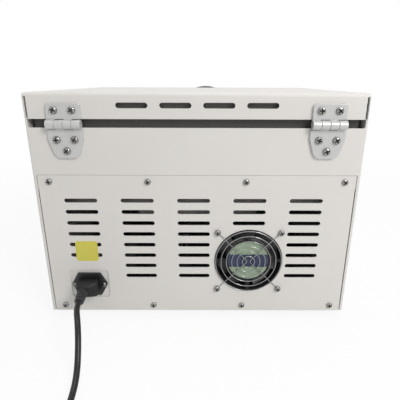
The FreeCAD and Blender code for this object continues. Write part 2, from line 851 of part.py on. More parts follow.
def fan_impeller():
    """Cup hub on its shaft, with a ring of blades."""
    body = new_body("fan_impeller")
    place(body, (s.fan_x, PANEL_BACK - s.hub_plate, s.fan_z))
    hub, wall = s.fan_hub / 2, s.impeller_wall
    start, end = -s.impeller_gap, -(s.impeller_gap + s.impeller_height)
    profile = sketch_on(body, "z", 0, "hub")
    polygon(profile, [(0, end), (hub, end), (hub, start), (hub - wall, start), (hub - wall, end + wall),
                      (s.shaft_radius, end + wall), (s.shaft_radius, start), (0, start)])
    revolve(body, profile)
    blade = sketch_on(body, "x", hub - wall / 2, "blade")
    half, sheet_width = s.blade_chord / 2, s.blade_sheet
    polygon(blade, [(end, -half), (start - wall, half - sheet_width), (start - wall, half),
                    (end, sheet_width - half)])
    vane = pad(body, blade, s.fan_bore / 2 - s.blade_tip_gap - hub + wall / 2, 1)
    ring = body.newObject("PartDesign::PolarPattern", "fan_impeller_blades")
    ring.Originals = [vane]
    ring.Axis = (next(f for f in body.Origin.OriginFeatures if f.Role == "Y_Axis"), [""])
    ring.Angle = 360
    ring.Occurrences = BLADES
    body.Tip = ring


def fan_guard():
    """Wire guard: rings on two chevron wires with an eye at each screw."""
    body = new_body("fan_guard")
    wire, half = s.guard_wire, s.fan_screw_pitch / 2
    eyes = sketch_on(body, "y", REAR, "eyes")
    for x, z in FAN_SCREWS:
        disc(eyes, x, z, s.guard_eye)
        disc(eyes, x, z, s.fan_screw / 2 + s.screw_clearance)
    pad(body, eyes, wire, 1)
    for title, side in (("chevron_left", -1), ("chevron_right", 1)):
        chevron = sketch_on(body, "y", REAR, title)
        inset = s.guard_eye - wire / 2
        outer = s.fan_x + half * side
        apex = s.fan_x + s.guard_apex * side
        tip = half - inset
        start = outer - inset * side
        polygon(chevron, [(start - wire, s.fan_z + tip), (start + wire, s.fan_z + tip),
                          (apex + wire, s.fan_z), (start + wire, s.fan_z - tip),
                          (start - wire, s.fan_z - tip), (apex - wire, s.fan_z)])
        pad(body, chevron, wire, 1)
    rings = sketch_on(body, "y", REAR + wire, "rings")
    for k in range(GUARD_RINGS):
        middle = s.guard_first_ring + s.guard_ring_pitch * k
        disc(rings, s.fan_x, s.fan_z, middle + wire / 2)
        disc(rings, s.fan_x, s.fan_z, middle - wire / 2)
    pad(body, rings, wire, 1)


def inlet_plate():
    """Painted plate behind the rear panel's window, which carries the power inlet."""
    body = new_body("inlet_plate")
    wide, tall = (half + s.inlet_plate_lap for half in INLET_WINDOW)
    outline = sketch_on(body, "y", PANEL_BACK, "outline")
    rectangle(outline, INLET_X - wide, s.inlet_z - tall, INLET_X + wide, s.inlet_z + tall)
    pad(body, outline, s.inlet_plate_sheet, -1)
    openings = sketch_on(body, "y", PANEL_BACK, "openings")
    wide = s.inlet_body_width / 2 + s.socket_clearance
    tall = s.inlet_body_height / 2 + s.socket_clearance
    rectangle(openings, INLET_X - wide, s.inlet_z - tall, INLET_X + wide, s.inlet_z + tall)
    for x, z in INLET_SCREWS:
        disc(openings, x, z, s.small_screw / 2)
    pocket(body, openings, s.inlet_plate_sheet, -1)


def socket_outline(sketch, gap):
    """Draw the cross-section of the power socket, drawn in by a gap."""
    wide, tall = s.socket_width / 2 - gap, s.socket_height / 2 - gap
    corner = s.socket_corner
    x, z = INLET_X, s.inlet_z
    polygon(sketch, [(x - wide, z - tall), (x + wide, z - tall), (x + wide, z + tall - corner),
                     (x + wide - corner, z + tall), (x - wide + corner, z + tall),
                     (x - wide, z + tall - corner)])


def power_inlet():
    """Moulded power inlet with an eight-sided flange."""
    body = new_body("power_inlet")
    x, z = INLET_X, s.inlet_z
    wide, tall = s.inlet_width / 2, s.inlet_height / 2
    ear, shoulder = s.inlet_ear / 2, s.inlet_shoulder / 2
    flange = sketch_on(body, "y", PANEL_BACK, "flange")
    right = [(wide, -ear), (wide, ear), (shoulder, tall)]
    left = [(-shoulder, tall), (-wide, ear), (-wide, -ear)]
    polygon(flange, [(x + dx, z + dz) for dx, dz in right + left + [(-shoulder, -tall), (shoulder, -tall)]])
    pad(body, flange, s.inlet_flange, 1)
    shell = sketch_on(body, "y", PANEL_BACK, "shell")
    wide, tall = s.inlet_body_width / 2, s.inlet_body_height / 2
    rectangle(shell, x - wide, z - tall, x + wide, z + tall)
    pad(body, shell, s.inlet_body_depth, -1)
    socket = sketch_on(body, "y", INLET_FACE, "socket")
    socket_outline(socket, as_size(0))
    pocket(body, socket, s.socket_depth, -1)
    holes = sketch_on(body, "y", INLET_FACE, "holes")
    for hole_x, hole_z in INLET_SCREWS:
        disc(holes, hole_x, hole_z, s.small_screw / 2 + s.screw_clearance)
    pocket(body, holes, s.inlet_flange, -1)


def pin_places():
    """List the middles of the three socket pins."""
    return [(INLET_X - s.pin_pitch / 2, s.inlet_z - s.pin_offset),
            (INLET_X, s.inlet_z + s.pin_offset),
            (INLET_X + s.pin_pitch / 2, s.inlet_z - s.pin_offset)]


def inlet_pins():
    """Three contact blades on the floor of the socket."""
    floor = INLET_FACE - s.socket_depth
    wide, tall = s.pin_thickness / 2, s.pin_width / 2
    pins = [box(f"inlet_pin_{i}", (x - wide, floor, z - tall), (x + wide, floor + s.pin_length, z + tall))
            for i, (x, z) in enumerate(pin_places())]
    node(group("inlet_pins", pins), "inlet_pins")


def mains_connector():
    """Cord connector: nose in the socket, grip, and a tail that leans and tapers to the strain relief."""
    body = new_body("mains_connector")
    x, z, gap = INLET_X, s.inlet_z, s.socket_clearance
    nose_start = INLET_FACE - s.socket_depth + gap
    nose = sketch_on(body, "y", nose_start, "nose")
    socket_outline(nose, gap)
    pad(body, nose, GRIP_START - nose_start, 1)
    holes = sketch_on(body, "y", nose_start, "holes")
    wide, tall = s.pin_thickness / 2 + gap, s.pin_width / 2 + gap
    for pin_x, pin_z in pin_places():
        rectangle(holes, pin_x - wide, pin_z - tall, pin_x + wide, pin_z + tall)
    grip = sketch_on(body, "y", GRIP_START, "grip")
    wide, tall = s.grip_width / 2, s.grip_height / 2
    rectangle(grip, x - wide, z - tall, x + wide, z + tall)
    pad(body, grip, s.grip_length, 1)
    pocket(body, holes, s.pin_length + gap, 1)
    shoulder = sketch_on(body, "y", GRIP_START + s.grip_length, "shoulder")
    rectangle(shoulder, x - wide, z - tall, x + wide, z + tall)
    tail = sketch_on(body, "y", RELIEF_START, "tail")
    tail.AttachmentOffset = Placement(Vector(), Rotation(Vector(0, 1, 0), 1))
    bind(tail, "AttachmentOffset.Rotation.Angle", s.relief_lean)
    bind(tail, "AttachmentOffset.Base.x", CORD_X)
    bind(tail, "AttachmentOffset.Base.y", z)
    wide, tall = s.tail_width / 2, s.tail_height / 2
    rectangle(tail, -wide, -tall, wide, tall)
    loft(body, shoulder, tail)


def cord_strain_relief():
    """Tapered relief with ribs, turned about the cord's first run."""
    body = new_body("cord_strain_relief")
    body.Placement = Placement(Vector(), Rotation(Vector(0, 0, 1), 1))
    bind(body, "Placement.Rotation.Angle", s.relief_lean)
    place(body, (CORD_X, RELIEF_START, s.inlet_z))
    step = s.relief_length / (2 * RELIEF_RIBS)
    taper = (s.relief_radius - s.relief_tip) / RELIEF_RIBS
    points = [(as_size(0), as_size(0))]
    for k in range(RELIEF_RIBS):
        rib = s.relief_radius - taper * k
        groove = rib - s.relief_groove
        start = step * (2 * k)
        points += [(rib, start), (rib, start + step), (groove, start + step), (groove, start + step * 2)]
    points.append((as_size(0), s.relief_length))
    profile = sketch_on(body, "z", 0, "profile")
    polygon(profile, points)
    revolve(body, profile)


# Mains cord

def rounded_path(points):
    """Join straight runs with the largest tangent arcs that they allow.

    Returns the path as a wire, and the arcs' radii.
    """
    edges, radii = [], []
    start = points[0]
    for before, corner, after in zip(points, points[1:], points[2:]):
        into, out = corner - before, after - corner
        half_turn = into.getAngle(out) / 2
        reach = 0.45 * min(into.Length, out.Length)
        radius = reach / math.tan(half_turn)
        into.normalize()
        out.normalize()
        arc_start, arc_end = corner - into * reach, corner + out * reach
        inward = (out - into).normalize()
        middle = corner + inward * radius * (1 / math.cos(half_turn) - 1)
        edges.append(Part.LineSegment(start, arc_start).toShape())
        edges.append(Part.Arc(arc_start, middle, arc_end).toShape())
        radii.append(radius)
        start = arc_end
    edges.append(Part.LineSegment(start, points[-1]).toShape())
    return Part.Wire(edges), radii


def tube_along(wire, radius):
    """Sweep a round section along a wire."""
    first = wire.OrderedEdges[0]
    start = first.valueAt(first.FirstParameter)
    heading = first.tangentAt(first.FirstParameter)
    section = Part.Wire([Part.Circle(start, heading, radius).toShape()])
    return wire.makePipeShell([section], True, False)


def mains_cord():
    """Free stretch of the cord, from the strain relief down to the floor and on to the coil."""
    x, y, z = INLET_X.value, REAR.value, s.inlet_z.value
    root, coil_start = Vector(CORD_X.value, RELIEF_START.value, z), coil_point(0)
    heading = Rotation(Vector(0, 0, 1), s.relief_lean.value).multVec(Vector(0, 1, 0))
    start = root + heading * s.relief_length.value
    points = [start, start + heading * s.cord_first_run.value]
    points += [Vector(x + dx, y + dy, height) for dx, dy, height in CORD_ROUTE]
    points += [coil_start - Vector(0, back.value, 0) for back in (s.coil_approach, s.cord_diameter)]
    wire, radii = rounded_path(points)
    print("cord arc radii", [round(radius, 1) for radius in radii], "length", round(wire.Length, 1))
    cord = doc.addObject("Part::Feature", "mains_cord")
    cord.Shape = tube_along(wire, CORD_RADIUS.value)
    share = cord.Shape.Volume / (math.pi * CORD_RADIUS.value ** 2 * wire.Length)
    print("cord volume over section times length", round(share, 4))
    node(cord, "mains_cord")


def coil_point(turn):
    """Give a point of the coil's middle line, counted in turns from its start.

    The lower layer spirals in and the upper layer spirals out again. The cord climbs from one to
    the other in the half turn where the spiral reverses.
    """
    step = s.coil_turn_step.value
    climbed = min(max(2 * (turn - COIL_LAYER_TURNS) + 0.5, 0.0), 1.0)
    radius = COIL_OUTER.value - step * min(turn, 2 * COIL_LAYER_TURNS - turn)
    angle = math.pi - 2 * math.pi * turn
    lift = step * climbed * climbed * (3 - 2 * climbed)
    return Vector(COIL_X.value + radius * math.cos(angle), COIL_Y.value + radius * math.sin(angle),
                  COIL_LOW.value + lift)


def coil_heading(turn):
    """Give the direction of the coil's middle line."""
    nudge = 1e-4
    return (coil_point(turn + nudge) - coil_point(turn - nudge)).normalize()


def arc_between(start, heading, end):
    """Make the arc from a point, with a given heading there, to another point."""
    chord = end - start
    along = Vector(chord).normalize()
    side = heading - along * heading.dot(along)
    if side.Length < 1e-9:
        return Part.LineSegment(start, end).toShape()
    bulge = chord.Length / 2 * math.tan(heading.getAngle(along) / 2)
    return Part.Arc(start, start + chord / 2 + side.normalize() * bulge, end).toShape()


def biarc(start, start_heading, end, end_heading):
    """Join two points and their headings with two tangent arcs."""
    span = end - start
    both = start_heading + end_heading
    turn = 2 * (1 - start_heading.dot(end_heading))
    reach = (math.sqrt(span.dot(both) ** 2 + turn * span.dot(span)) - span.dot(both)) / turn
    joint = (start + end + (start_heading - end_heading) * reach) / 2
    first = arc_between(start, start_heading, joint)
    second = arc_between(end, -end_heading, joint)
    return [first, second]


def coil_wire():
    """Wind the coil's middle line from quarter-turn biarcs between two straight ends."""
    quarters = 8 * COIL_LAYER_TURNS
    points = [coil_point(k / 4) for k in range(quarters + 1)]
    headings = [coil_heading(k / 4) for k in range(quarters + 1)]
    straight = Vector(0, 1, 0)
    headings[0] = headings[-1] = straight
    edges = [Part.LineSegment(points[0] - straight * s.cord_diameter.value, points[0]).toShape()]
    for k in range(quarters):
        edges += biarc(points[k], headings[k], points[k + 1], headings[k + 1])
    edges.append(Part.LineSegment(points[-1], points[-1] + straight * s.coil_lead.value).toShape())
    return Part.Wire(Part.__sortEdges__(edges))


def least_gap(wire, diameter):
    """Measure the smallest gap between a tube's turns, on points along its middle line."""
    spacing = 2.0
    points = wire.discretize(Distance=spacing)
    skip = math.ceil(4 * diameter / spacing)
    nearest = min((a - b).Length for i, a in enumerate(points) for b in points[i + skip:])
    return nearest - diameter


def cord_coil():
    """Unseen length of the cord, wound into a flat coil of two layers."""
    wire = coil_wire()
    gap = least_gap(wire, s.cord_diameter.value)
    print("coil length", round(wire.Length, 1), "least gap", round(gap, 2))
    coil = doc.addObject("Part::Feature", "cord_coil")
    coil.Shape = tube_along(wire, CORD_RADIUS.value)
    node(coil, "cord_coil")


def cord_ties():
    """Two straps round the coil's bundle, which the coil rests on."""
    gap, sheet_width = s.socket_clearance, s.tie_sheet
    near = s.coil_inner_radius - CORD_RADIUS - gap
    far = COIL_OUTER + CORD_RADIUS + gap
    top = COIL_HIGH + CORD_RADIUS + gap
    half = s.tie_width / 2
    ties = [shell_box("tie_side", (COIL_X + near - sheet_width, COIL_Y - half, 0),
                      (COIL_X + far + sheet_width, COIL_Y + half, top + sheet_width),
                      (COIL_X + near, COIL_Y - half, sheet_width), (COIL_X + far, COIL_Y + half, top)),
            shell_box("tie_front", (COIL_X - half, COIL_Y - far - sheet_width, 0),
                      (COIL_X + half, COIL_Y - near + sheet_width, top + sheet_width),
                      (COIL_X - half, COIL_Y - far, sheet_width), (COIL_X + half, COIL_Y - near, top))]
    node(group("cord_ties", ties), "cord_ties")


def wall_plug():
    """Moulded plug on the end of the cord, lying on the floor, and its contact pins."""
    body = new_body("wall_plug")
    x, start = COIL_X - COIL_OUTER, COIL_Y + s.coil_lead
    neck, half, tall = s.plug_neck / 2, s.plug_width / 2, COIL_HIGH
    slim = sketch_on(body, "y", start, "slim")
    rectangle(slim, x - neck, tall - neck, x + neck, tall + neck)
    wide = sketch_on(body, "y", start + s.plug_neck_length, "wide")
    rectangle(wide, x - half, 0, x + half, tall * 2)
    loft(body, slim, wide)
    block = sketch_on(body, "y", start + s.plug_neck_length, "block")
    rectangle(block, x - half, 0, x + half, tall * 2)
    pad(body, block, s.plug_length, 1)
    face = start + s.plug_neck_length + s.plug_length
    thick, high = s.plug_blade_thickness / 2, s.plug_blade_width / 2
    level = tall - s.earth_pin_offset / 2
    blades = [box(f"plug_blade_{i}", (x + s.blade_pitch * (i - 0.5) - thick, face, level - high),
                  (x + s.blade_pitch * (i - 0.5) + thick, face + s.plug_blade_length, level + high))
              for i in (0, 1)]
    earth = rod("plug_earth", (x, face, tall + s.earth_pin_offset), "y", s.earth_pin_radius,
                s.plug_blade_length)
    node(group("wall_plug_pins", blades + [earth]), "wall_plug_pins")


# Heating chamber

def chamber_rails():
    """Strips on the side walls of the casing, which carry the chamber's rim."""
    rails = []
    for side in (-1, 1):
        profile = doc.addObject("Sketcher::SketchObject", f"chamber_rail_profile_{side + 1}")
        profile.Placement = Placement(Vector(), Rotation(Vector(1, 0, 0), 90))
        outer, inner = INNER * side, (INNER - s.ledge_width) * side
        polygon(profile, [(outer, FLANGE_BOTTOM), (inner, FLANGE_BOTTOM), (inner, FLANGE_BOTTOM - SHEET),
                          (outer, FLANGE_BOTTOM - s.ledge_width)])
        bind(profile, "Placement.Base.y", CHAMBER_FRONT)
        rail = doc.addObject("Part::Extrusion", f"chamber_rail_{side + 1}")
        rail.Base = profile
        rail.DirMode = "Custom"
        rail.Dir = Vector(0, 1, 0)
        rail.Solid = True
        bind(rail, "LengthFwd", CHAMBER_LENGTH)
        rails.append(rail)
    node(group("chamber_rails", rails), "chamber_rails")


def ring_of_plates(name, outer_low, outer_high, inner_low, inner_high, low, high):
    """Four plates round an opening, with the side plates between the end plates."""
    spans = {"front": ((outer_low[0], outer_low[1]), (outer_high[0], inner_low[1])),
             "rear": ((outer_low[0], inner_high[1]), (outer_high[0], outer_high[1])),
             "left": ((outer_low[0], inner_low[1]), (inner_low[0], inner_high[1])),
             "right": ((inner_high[0], inner_low[1]), (outer_high[0], inner_high[1]))}
    return [box(f"{name}_{side}", (*start, low), (*end, high)) for side, (start, end) in spans.items()]


def heating_chamber():
    """Bright steel tub, welded from plates, with a rim that closes the top of the casing."""
    sheet_width = s.chamber_sheet
    inner_low, inner_high = (-CHAMBER_HALF, CHAMBER_FRONT), (CHAMBER_HALF, CHAMBER_REAR)
    tub_low = (-CHAMBER_HALF - sheet_width, CHAMBER_FRONT - sheet_width)
    tub_high = (CHAMBER_HALF + sheet_width, CHAMBER_REAR + sheet_width)
    plates = ring_of_plates("chamber_wall", tub_low, tub_high, inner_low, inner_high, CHAMBER_FLOOR,
                            FLANGE_TOP)
    plates += ring_of_plates("chamber_rim", (-INNER, LIP_BACK), (INNER, REAR - SHEET), tub_low, tub_high,
                             FLANGE_BOTTOM, FLANGE_TOP)
    plates.append(box("chamber_floor", (*tub_low, CHAMBER_FLOOR - sheet_width), (*tub_high, CHAMBER_FLOOR)))
    node(group("heating_chamber", plates), "heating_chamber")


def rack_ledges():
    """Angle strips on the side walls of the tub, which the rack rests on."""
    strip, top = s.chamber_sheet, CHAMBER_FLOOR + s.rack_height
    ledges = []
    for side in (-1, 1):
        name = f"rack_ledge_{side + 1}"
        arms = []
        for arm, reach, drop in (("shelf", s.rack_ledge, strip), ("upright", strip, s.rack_ledge)):
            wall, edge = CHAMBER_HALF * side, (CHAMBER_HALF - reach) * side
            low, high = (edge, wall) if side > 0 else (wall, edge)
            arms.append(box(f"{name}_{arm}", (low, CHAMBER_FRONT, top - drop), (high, CHAMBER_REAR, top)))
        ledges.append(fuse(name, arms))
    node(group("rack_ledges", ledges), "rack_ledges")


def chamber_lagging():
    """Wool blanket round the tub and the sheet jacket that holds it, with a rail under each end."""
    skin, wool, jacket = s.chamber_sheet, s.wool_thickness, s.jacket_sheet
    corners = []
    for grow in (skin, skin + wool, skin + wool + jacket):
        corners.append(((-CHAMBER_HALF - grow, CHAMBER_FRONT - grow, CHAMBER_FLOOR - grow),
                        (CHAMBER_HALF + grow, CHAMBER_REAR + grow, FLANGE_BOTTOM)))
    node(shell_box("chamber_insulation", *corners[1], *corners[0]), "chamber_insulation")
    shell = shell_box("jacket_shell", *corners[2], *corners[1])
    low, high = corners[2]
    half, top = s.jacket_rail_length / 2, low[2]
    rails = [box(f"jacket_rail_{i}", (-half, start, top - s.jacket_rail_height),
                 (half, start + s.jacket_rail_width, top))
             for i, start in enumerate((low[1] + s.jacket_rail_inset,
                                        high[1] - s.jacket_rail_inset - s.jacket_rail_width))]
    node(fuse("insulation_jacket", [shell] + rails), "insulation_jacket")


def heater_set(prefix, count, margin, level, plate_low, plate_high):
    """A row of quartz heaters and the two plates that hold their ends."""
    radius, half = s.tube_diameter / 2, CHAMBER_HALF - s.tube_end_gap
    spread = CHAMBER_LENGTH - margin * 2
    offsets = [spread * (k / (count - 1) - 0.5) for k in range(count)]
    tubes = [rod(f"{prefix}_tube_{k}", (-half, MIDDLE + offset, level), "x", radius, half * 2)
             for k, offset in enumerate(offsets)]
    node(group(f"{prefix}_heater_tubes", tubes), f"{prefix}_heater_tubes")
    reach = offsets[-1] + s.holder_margin
    plates = []
    for side in (-1, 1):
        start = (half - s.holder_margin) * side - s.holder_sheet / 2
        plate = box(f"{prefix}_plate_{side + 1}", (start, MIDDLE - reach, plate_low),
                    (start + s.holder_sheet, MIDDLE + reach, plate_high))
        holes = [rod(f"{prefix}_hole_{side + 1}_{k}", (start, MIDDLE + offset, level), "x", radius,
                     s.holder_sheet) for k, offset in enumerate(offsets)]
        plates.append(cut(f"{prefix}_holder_{side + 1}", plate, holes))
    node(group(f"{prefix}_tube_holders", plates), f"{prefix}_tube_holders")


def board_rack():
    """Wire rack that carries circuit boards over the lower heaters: bars welded on two rails."""
    rail, bar = s.rack_rail / 2, s.rack_bar / 2
    level = CHAMBER_FLOOR + s.rack_height + rail
    half_x = CHAMBER_HALF - s.rack_margin - rail
    half_y = CHAMBER_LENGTH / 2 - s.rack_margin
    rods = [rod(f"rack_rail_{side + 1}", (half_x * side, MIDDLE - half_y, level), "y", rail, half_y * 2)
            for side in (-1, 1)]
    first = MIDDLE - half_y + rail
    spread = (half_y - rail) * 2 / (RACK_BARS - 1)
    for k in range(RACK_BARS):
        rods.append(rod(f"rack_bar_{k}", (-half_x, first + spread * k, level + rail), "x", bar, half_x * 2))
    node(fuse("board_rack", rods), "board_rack")


def thermocouple_probe():
    """Thermocouple through a nut on the rear wall of the chamber."""
    level = CHAMBER_FLOOR + s.probe_height
    nut = rod("probe_nut_body", (0, CHAMBER_REAR - s.probe_nut, level), "y", s.probe_nut, s.probe_nut)
    stem = rod("probe_stem", (0, CHAMBER_REAR - s.probe_length, level), "y", s.probe_radius, s.probe_length)
    node(fuse("thermocouple_probe", [nut, stem]), "thermocouple_probe")


# Electronics on the floor tray

def control_board():
    """Circuit board with its taller components."""
    low = TRAY_TOP + s.standoff_height
    top = low + s.board_sheet
    x, y = BOARD_X, FRONT + s.board_y
    third, quarter = s.board_width / 3, s.board_length / 4
    plate = box("board_plate", (x, y, low), (x + s.board_width, y + s.board_length, top))
    trafo = box("board_transformer", (x + quarter, y + quarter, top),
                (x + quarter + third, y + quarter * 2, top + third))
    chip = box("board_processor", (x + third * 2, y + quarter, top),
               (x + third * 2 + quarter, y + quarter * 2, top + s.board_sheet))
    strip = box("board_terminals", (x + quarter, y + quarter * 3, top),
                (x + quarter + third * 2, y + quarter * 3.5, top + s.standoff_height))
    capacitors = [rod(f"board_capacitor_{k}", (x + third * 2 + quarter * (k / 2), y + quarter * 2.5, top),
                      "z", quarter / 5, quarter) for k in (0, 1)]
    node(fuse("control_board", [plate, trafo, chip, strip] + capacitors), "control_board")


def relay_heat_sink():
    """Finned heat sink standing on its fins, and the two relays on top of it."""
    body = new_body("relay_heat_sink")
    x, y = s.sink_x, FRONT + s.sink_y
    fin_top = TRAY_TOP + s.sink_fin_height
    plate = sketch_on(body, "z", fin_top, "plate")
    rectangle(plate, x, y, x + s.sink_width, y + s.sink_length)
    pad(body, plate, s.sink_base, 1)
    first = x + (s.sink_width - s.sink_fin_pitch * (SINK_FINS - 1) - s.sink_fin) / 2
    fin = sketch_on(body, "z", fin_top, "fin")
    rectangle(fin, first, y, first + s.sink_fin, y + s.sink_length)
    blade = pad(body, fin, s.sink_fin_height, -1)
    repeat(body, [blade], fin, "H_Axis", s.sink_fin_pitch, SINK_FINS)
    seat = fin_top + s.sink_base
    side = (s.sink_width - s.relay_width) / 2
    gap = (s.sink_length - s.relay_length * 2) / 3
    relays = [box(f"relay_{k}", (x + side, y + gap + (s.relay_length + gap) * k, seat),
                  (x + side + s.relay_width, y + (s.relay_length + gap) * (k + 1), seat + s.relay_height))
              for k in (0, 1)]
    node(group("solid_state_relays", relays), "solid_state_relays")


def power_supply():
    """Caged power supply for the board and the fan."""
    x, y = INNER - s.supply_side - s.supply_width, FRONT + s.supply_y
    cage = box("supply_cage", (x, y, TRAY_TOP),
               (x + s.supply_width, y + s.supply_length, TRAY_TOP + s.supply_height))
    step = s.terminal_height
    notch = box("supply_step", (x, y + s.supply_length - step, TRAY_TOP + step),
                (x + s.supply_width, y + s.supply_length, TRAY_TOP + s.supply_height))
    node(cut("power_supply", cage, [notch]), "power_supply")


def terminal_block():
    """Barrier strip for the mains wiring."""
    body = new_body("terminal_block")
    x, y = s.terminal_x, FRONT + s.terminal_y
    length = s.terminal_pitch * TERMINALS + s.terminal_wall
    base = sketch_on(body, "z", TRAY_TOP, "base")
    rectangle(base, x, y, x + length, y + s.terminal_width)
    pad(body, base, s.terminal_height / 2, 1)
    wall = sketch_on(body, "z", TRAY_TOP, "wall")
    rectangle(wall, x, y, x + s.terminal_wall, y + s.terminal_width)
    barrier = pad(body, wall, s.terminal_height, 1)
    repeat(body, [barrier], wall, "H_Axis", s.terminal_pitch, TERMINALS + 1)


# Front panel and controls

def key_places():
    """List the middles of the keys along the front panel."""
    return [s.key_first_x + s.key_pitch * k for k in range(len(KEY_NAMES))]


def front_panel():
    """Front plate with openings for the display, the keys and the power switch."""
    body = new_body("front_panel")
    side = INNER - s.panel_gap
    outline = sketch_on(body, "y", FRONT, "outline")
    rectangle(outline, -side, FLOOR, side, RIM)
    pad(body, outline, s.front_sheet, 1)
    openings = sketch_on(body, "y", FRONT, "openings")
    wide, tall = s.display_width / 2, s.display_height / 2
    rectangle(openings, s.display_x - wide, s.controls_z - tall, s.display_x + wide, s.controls_z + tall)
    for x in key_places():
        disc(openings, x, s.controls_z, s.key_diameter / 2 + s.key_gap)
    wide, tall = SWITCH_BODY
    rectangle(openings, ROCKER_X - wide, s.controls_z - tall, ROCKER_X + wide, s.controls_z + tall)
    for x, z in FRONT_SCREWS:
        disc(openings, x, z, s.panel_screw / 2 + s.screw_clearance)
    pocket(body, openings, s.front_sheet, 1)


def display():
    """Display module behind its window, and the lens that fills the window."""
    wide, tall, rim, gap = s.display_width / 2, s.display_height / 2, s.display_rim, s.lens_gap
    x, z = s.display_x, s.controls_z
    module = box("display_module", (x - wide - rim, LIP_FRONT, z - tall - rim),
                 (x + wide + rim, LIP_FRONT + s.display_depth, z + tall + rim))
    node(module, "display_module")
    lens = box("display_lens", (x - wide + gap, FRONT, z - tall + gap),
               (x + wide - gap, LIP_FRONT, z + tall - gap))
    node(lens, "display_lens")


def keys():
    """Round keys that a shoulder keeps behind the panel, and the switch board behind them."""
    radius, gap = s.key_diameter / 2, s.key_gap
    shoulder = radius + gap + s.key_flange
    seat = LIP_FRONT + gap
    stem = seat + s.key_flange
    for name, x in zip(KEY_NAMES, key_places()):
        cap = rod(f"{name}_cap", (x, FRONT - s.key_proud, s.controls_z), "y", radius,
                  seat - FRONT + s.key_proud)
        flange = rod(f"{name}_flange", (x, seat, s.controls_z), "y", shoulder, s.key_flange)
        node(fuse(name, [cap, flange]), name)
    board_front = stem + s.key_travel + gap + s.key_switch
    half = s.key_board_height / 2
    start = s.key_first_x - s.key_pitch
    end = s.key_first_x + s.key_pitch * len(KEY_NAMES)
    parts = [box("key_board_plate", (start, board_front, s.controls_z - half),
                 (end, board_front + s.board_sheet, s.controls_z + half))]
    for k, x in enumerate(key_places()):
        reach = s.key_switch / 2
        parts.append(box(f"key_switch_{k}", (x - reach, board_front - s.key_switch, s.controls_z - reach),
                         (x + reach, board_front, s.controls_z + reach)))
    for k, x in enumerate((start + s.standoff_inset, end - s.standoff_inset)):
        parts.append(rod(f"key_post_{k}", (x, LIP_FRONT, s.controls_z), "y", s.standoff_radius,
                         board_front - LIP_FRONT))
    node(fuse("key_board", parts), "key_board")


def power_switch():
    """Switch housing with a bezel, and the rocker on trunnions inside it."""
    x, z = ROCKER_X, s.controls_z
    bezel_wide, bezel_tall = s.switch_width / 2, s.switch_height / 2
    wide, tall = SWITCH_BODY
    inner_wide, inner_tall = SWITCH_CAVITY
    front = FRONT - s.switch_bezel
    bezel = box("switch_bezel", (x - bezel_wide, front, z - bezel_tall),
                (x + bezel_wide, FRONT, z + bezel_tall))
    shell = box("switch_shell", (x - wide, FRONT, z - tall), (x + wide, FRONT + s.switch_depth, z + tall))
    cavity = box("switch_cavity", (x - inner_wide, front, z - inner_tall),
                 (x + inner_wide, ROCKER_Y + s.rocker_thickness, z + inner_tall))
    reach = inner_wide + s.trunnion_reach
    bearing_reach = reach + s.rocker_gap
    bearing = rod("switch_bearing", (x - bearing_reach, ROCKER_Y, z), "x",
                  s.trunnion_radius + s.running_fit, bearing_reach * 2)
    hollow = fuse("switch_hollow", [cavity, bearing])
    node(cut("power_switch_housing", fuse("switch_block", [bezel, shell]), [hollow]),
         "power_switch_housing")
    half_wide, half_tall, half_thick = s.rocker_width / 2, s.rocker_height / 2, s.rocker_thickness / 2
    paddle = box("rocker_paddle", (-half_wide, -half_thick, -half_tall), (half_wide, half_thick, half_tall))
    pivot = rod("rocker_pivot", (-reach, 0, 0), "x", s.trunnion_radius, reach * 2)
    rocker = fuse("power_rocker", [paddle, pivot])
    rocker.Placement = Placement(Vector(), Rotation(Vector(1, 0, 0), 1))
    bind(rocker, "Placement.Rotation.Angle", s.rocker_tilt)
    place(rocker, (x, ROCKER_Y, z))
    node(rocker, "power_rocker")


# Lid

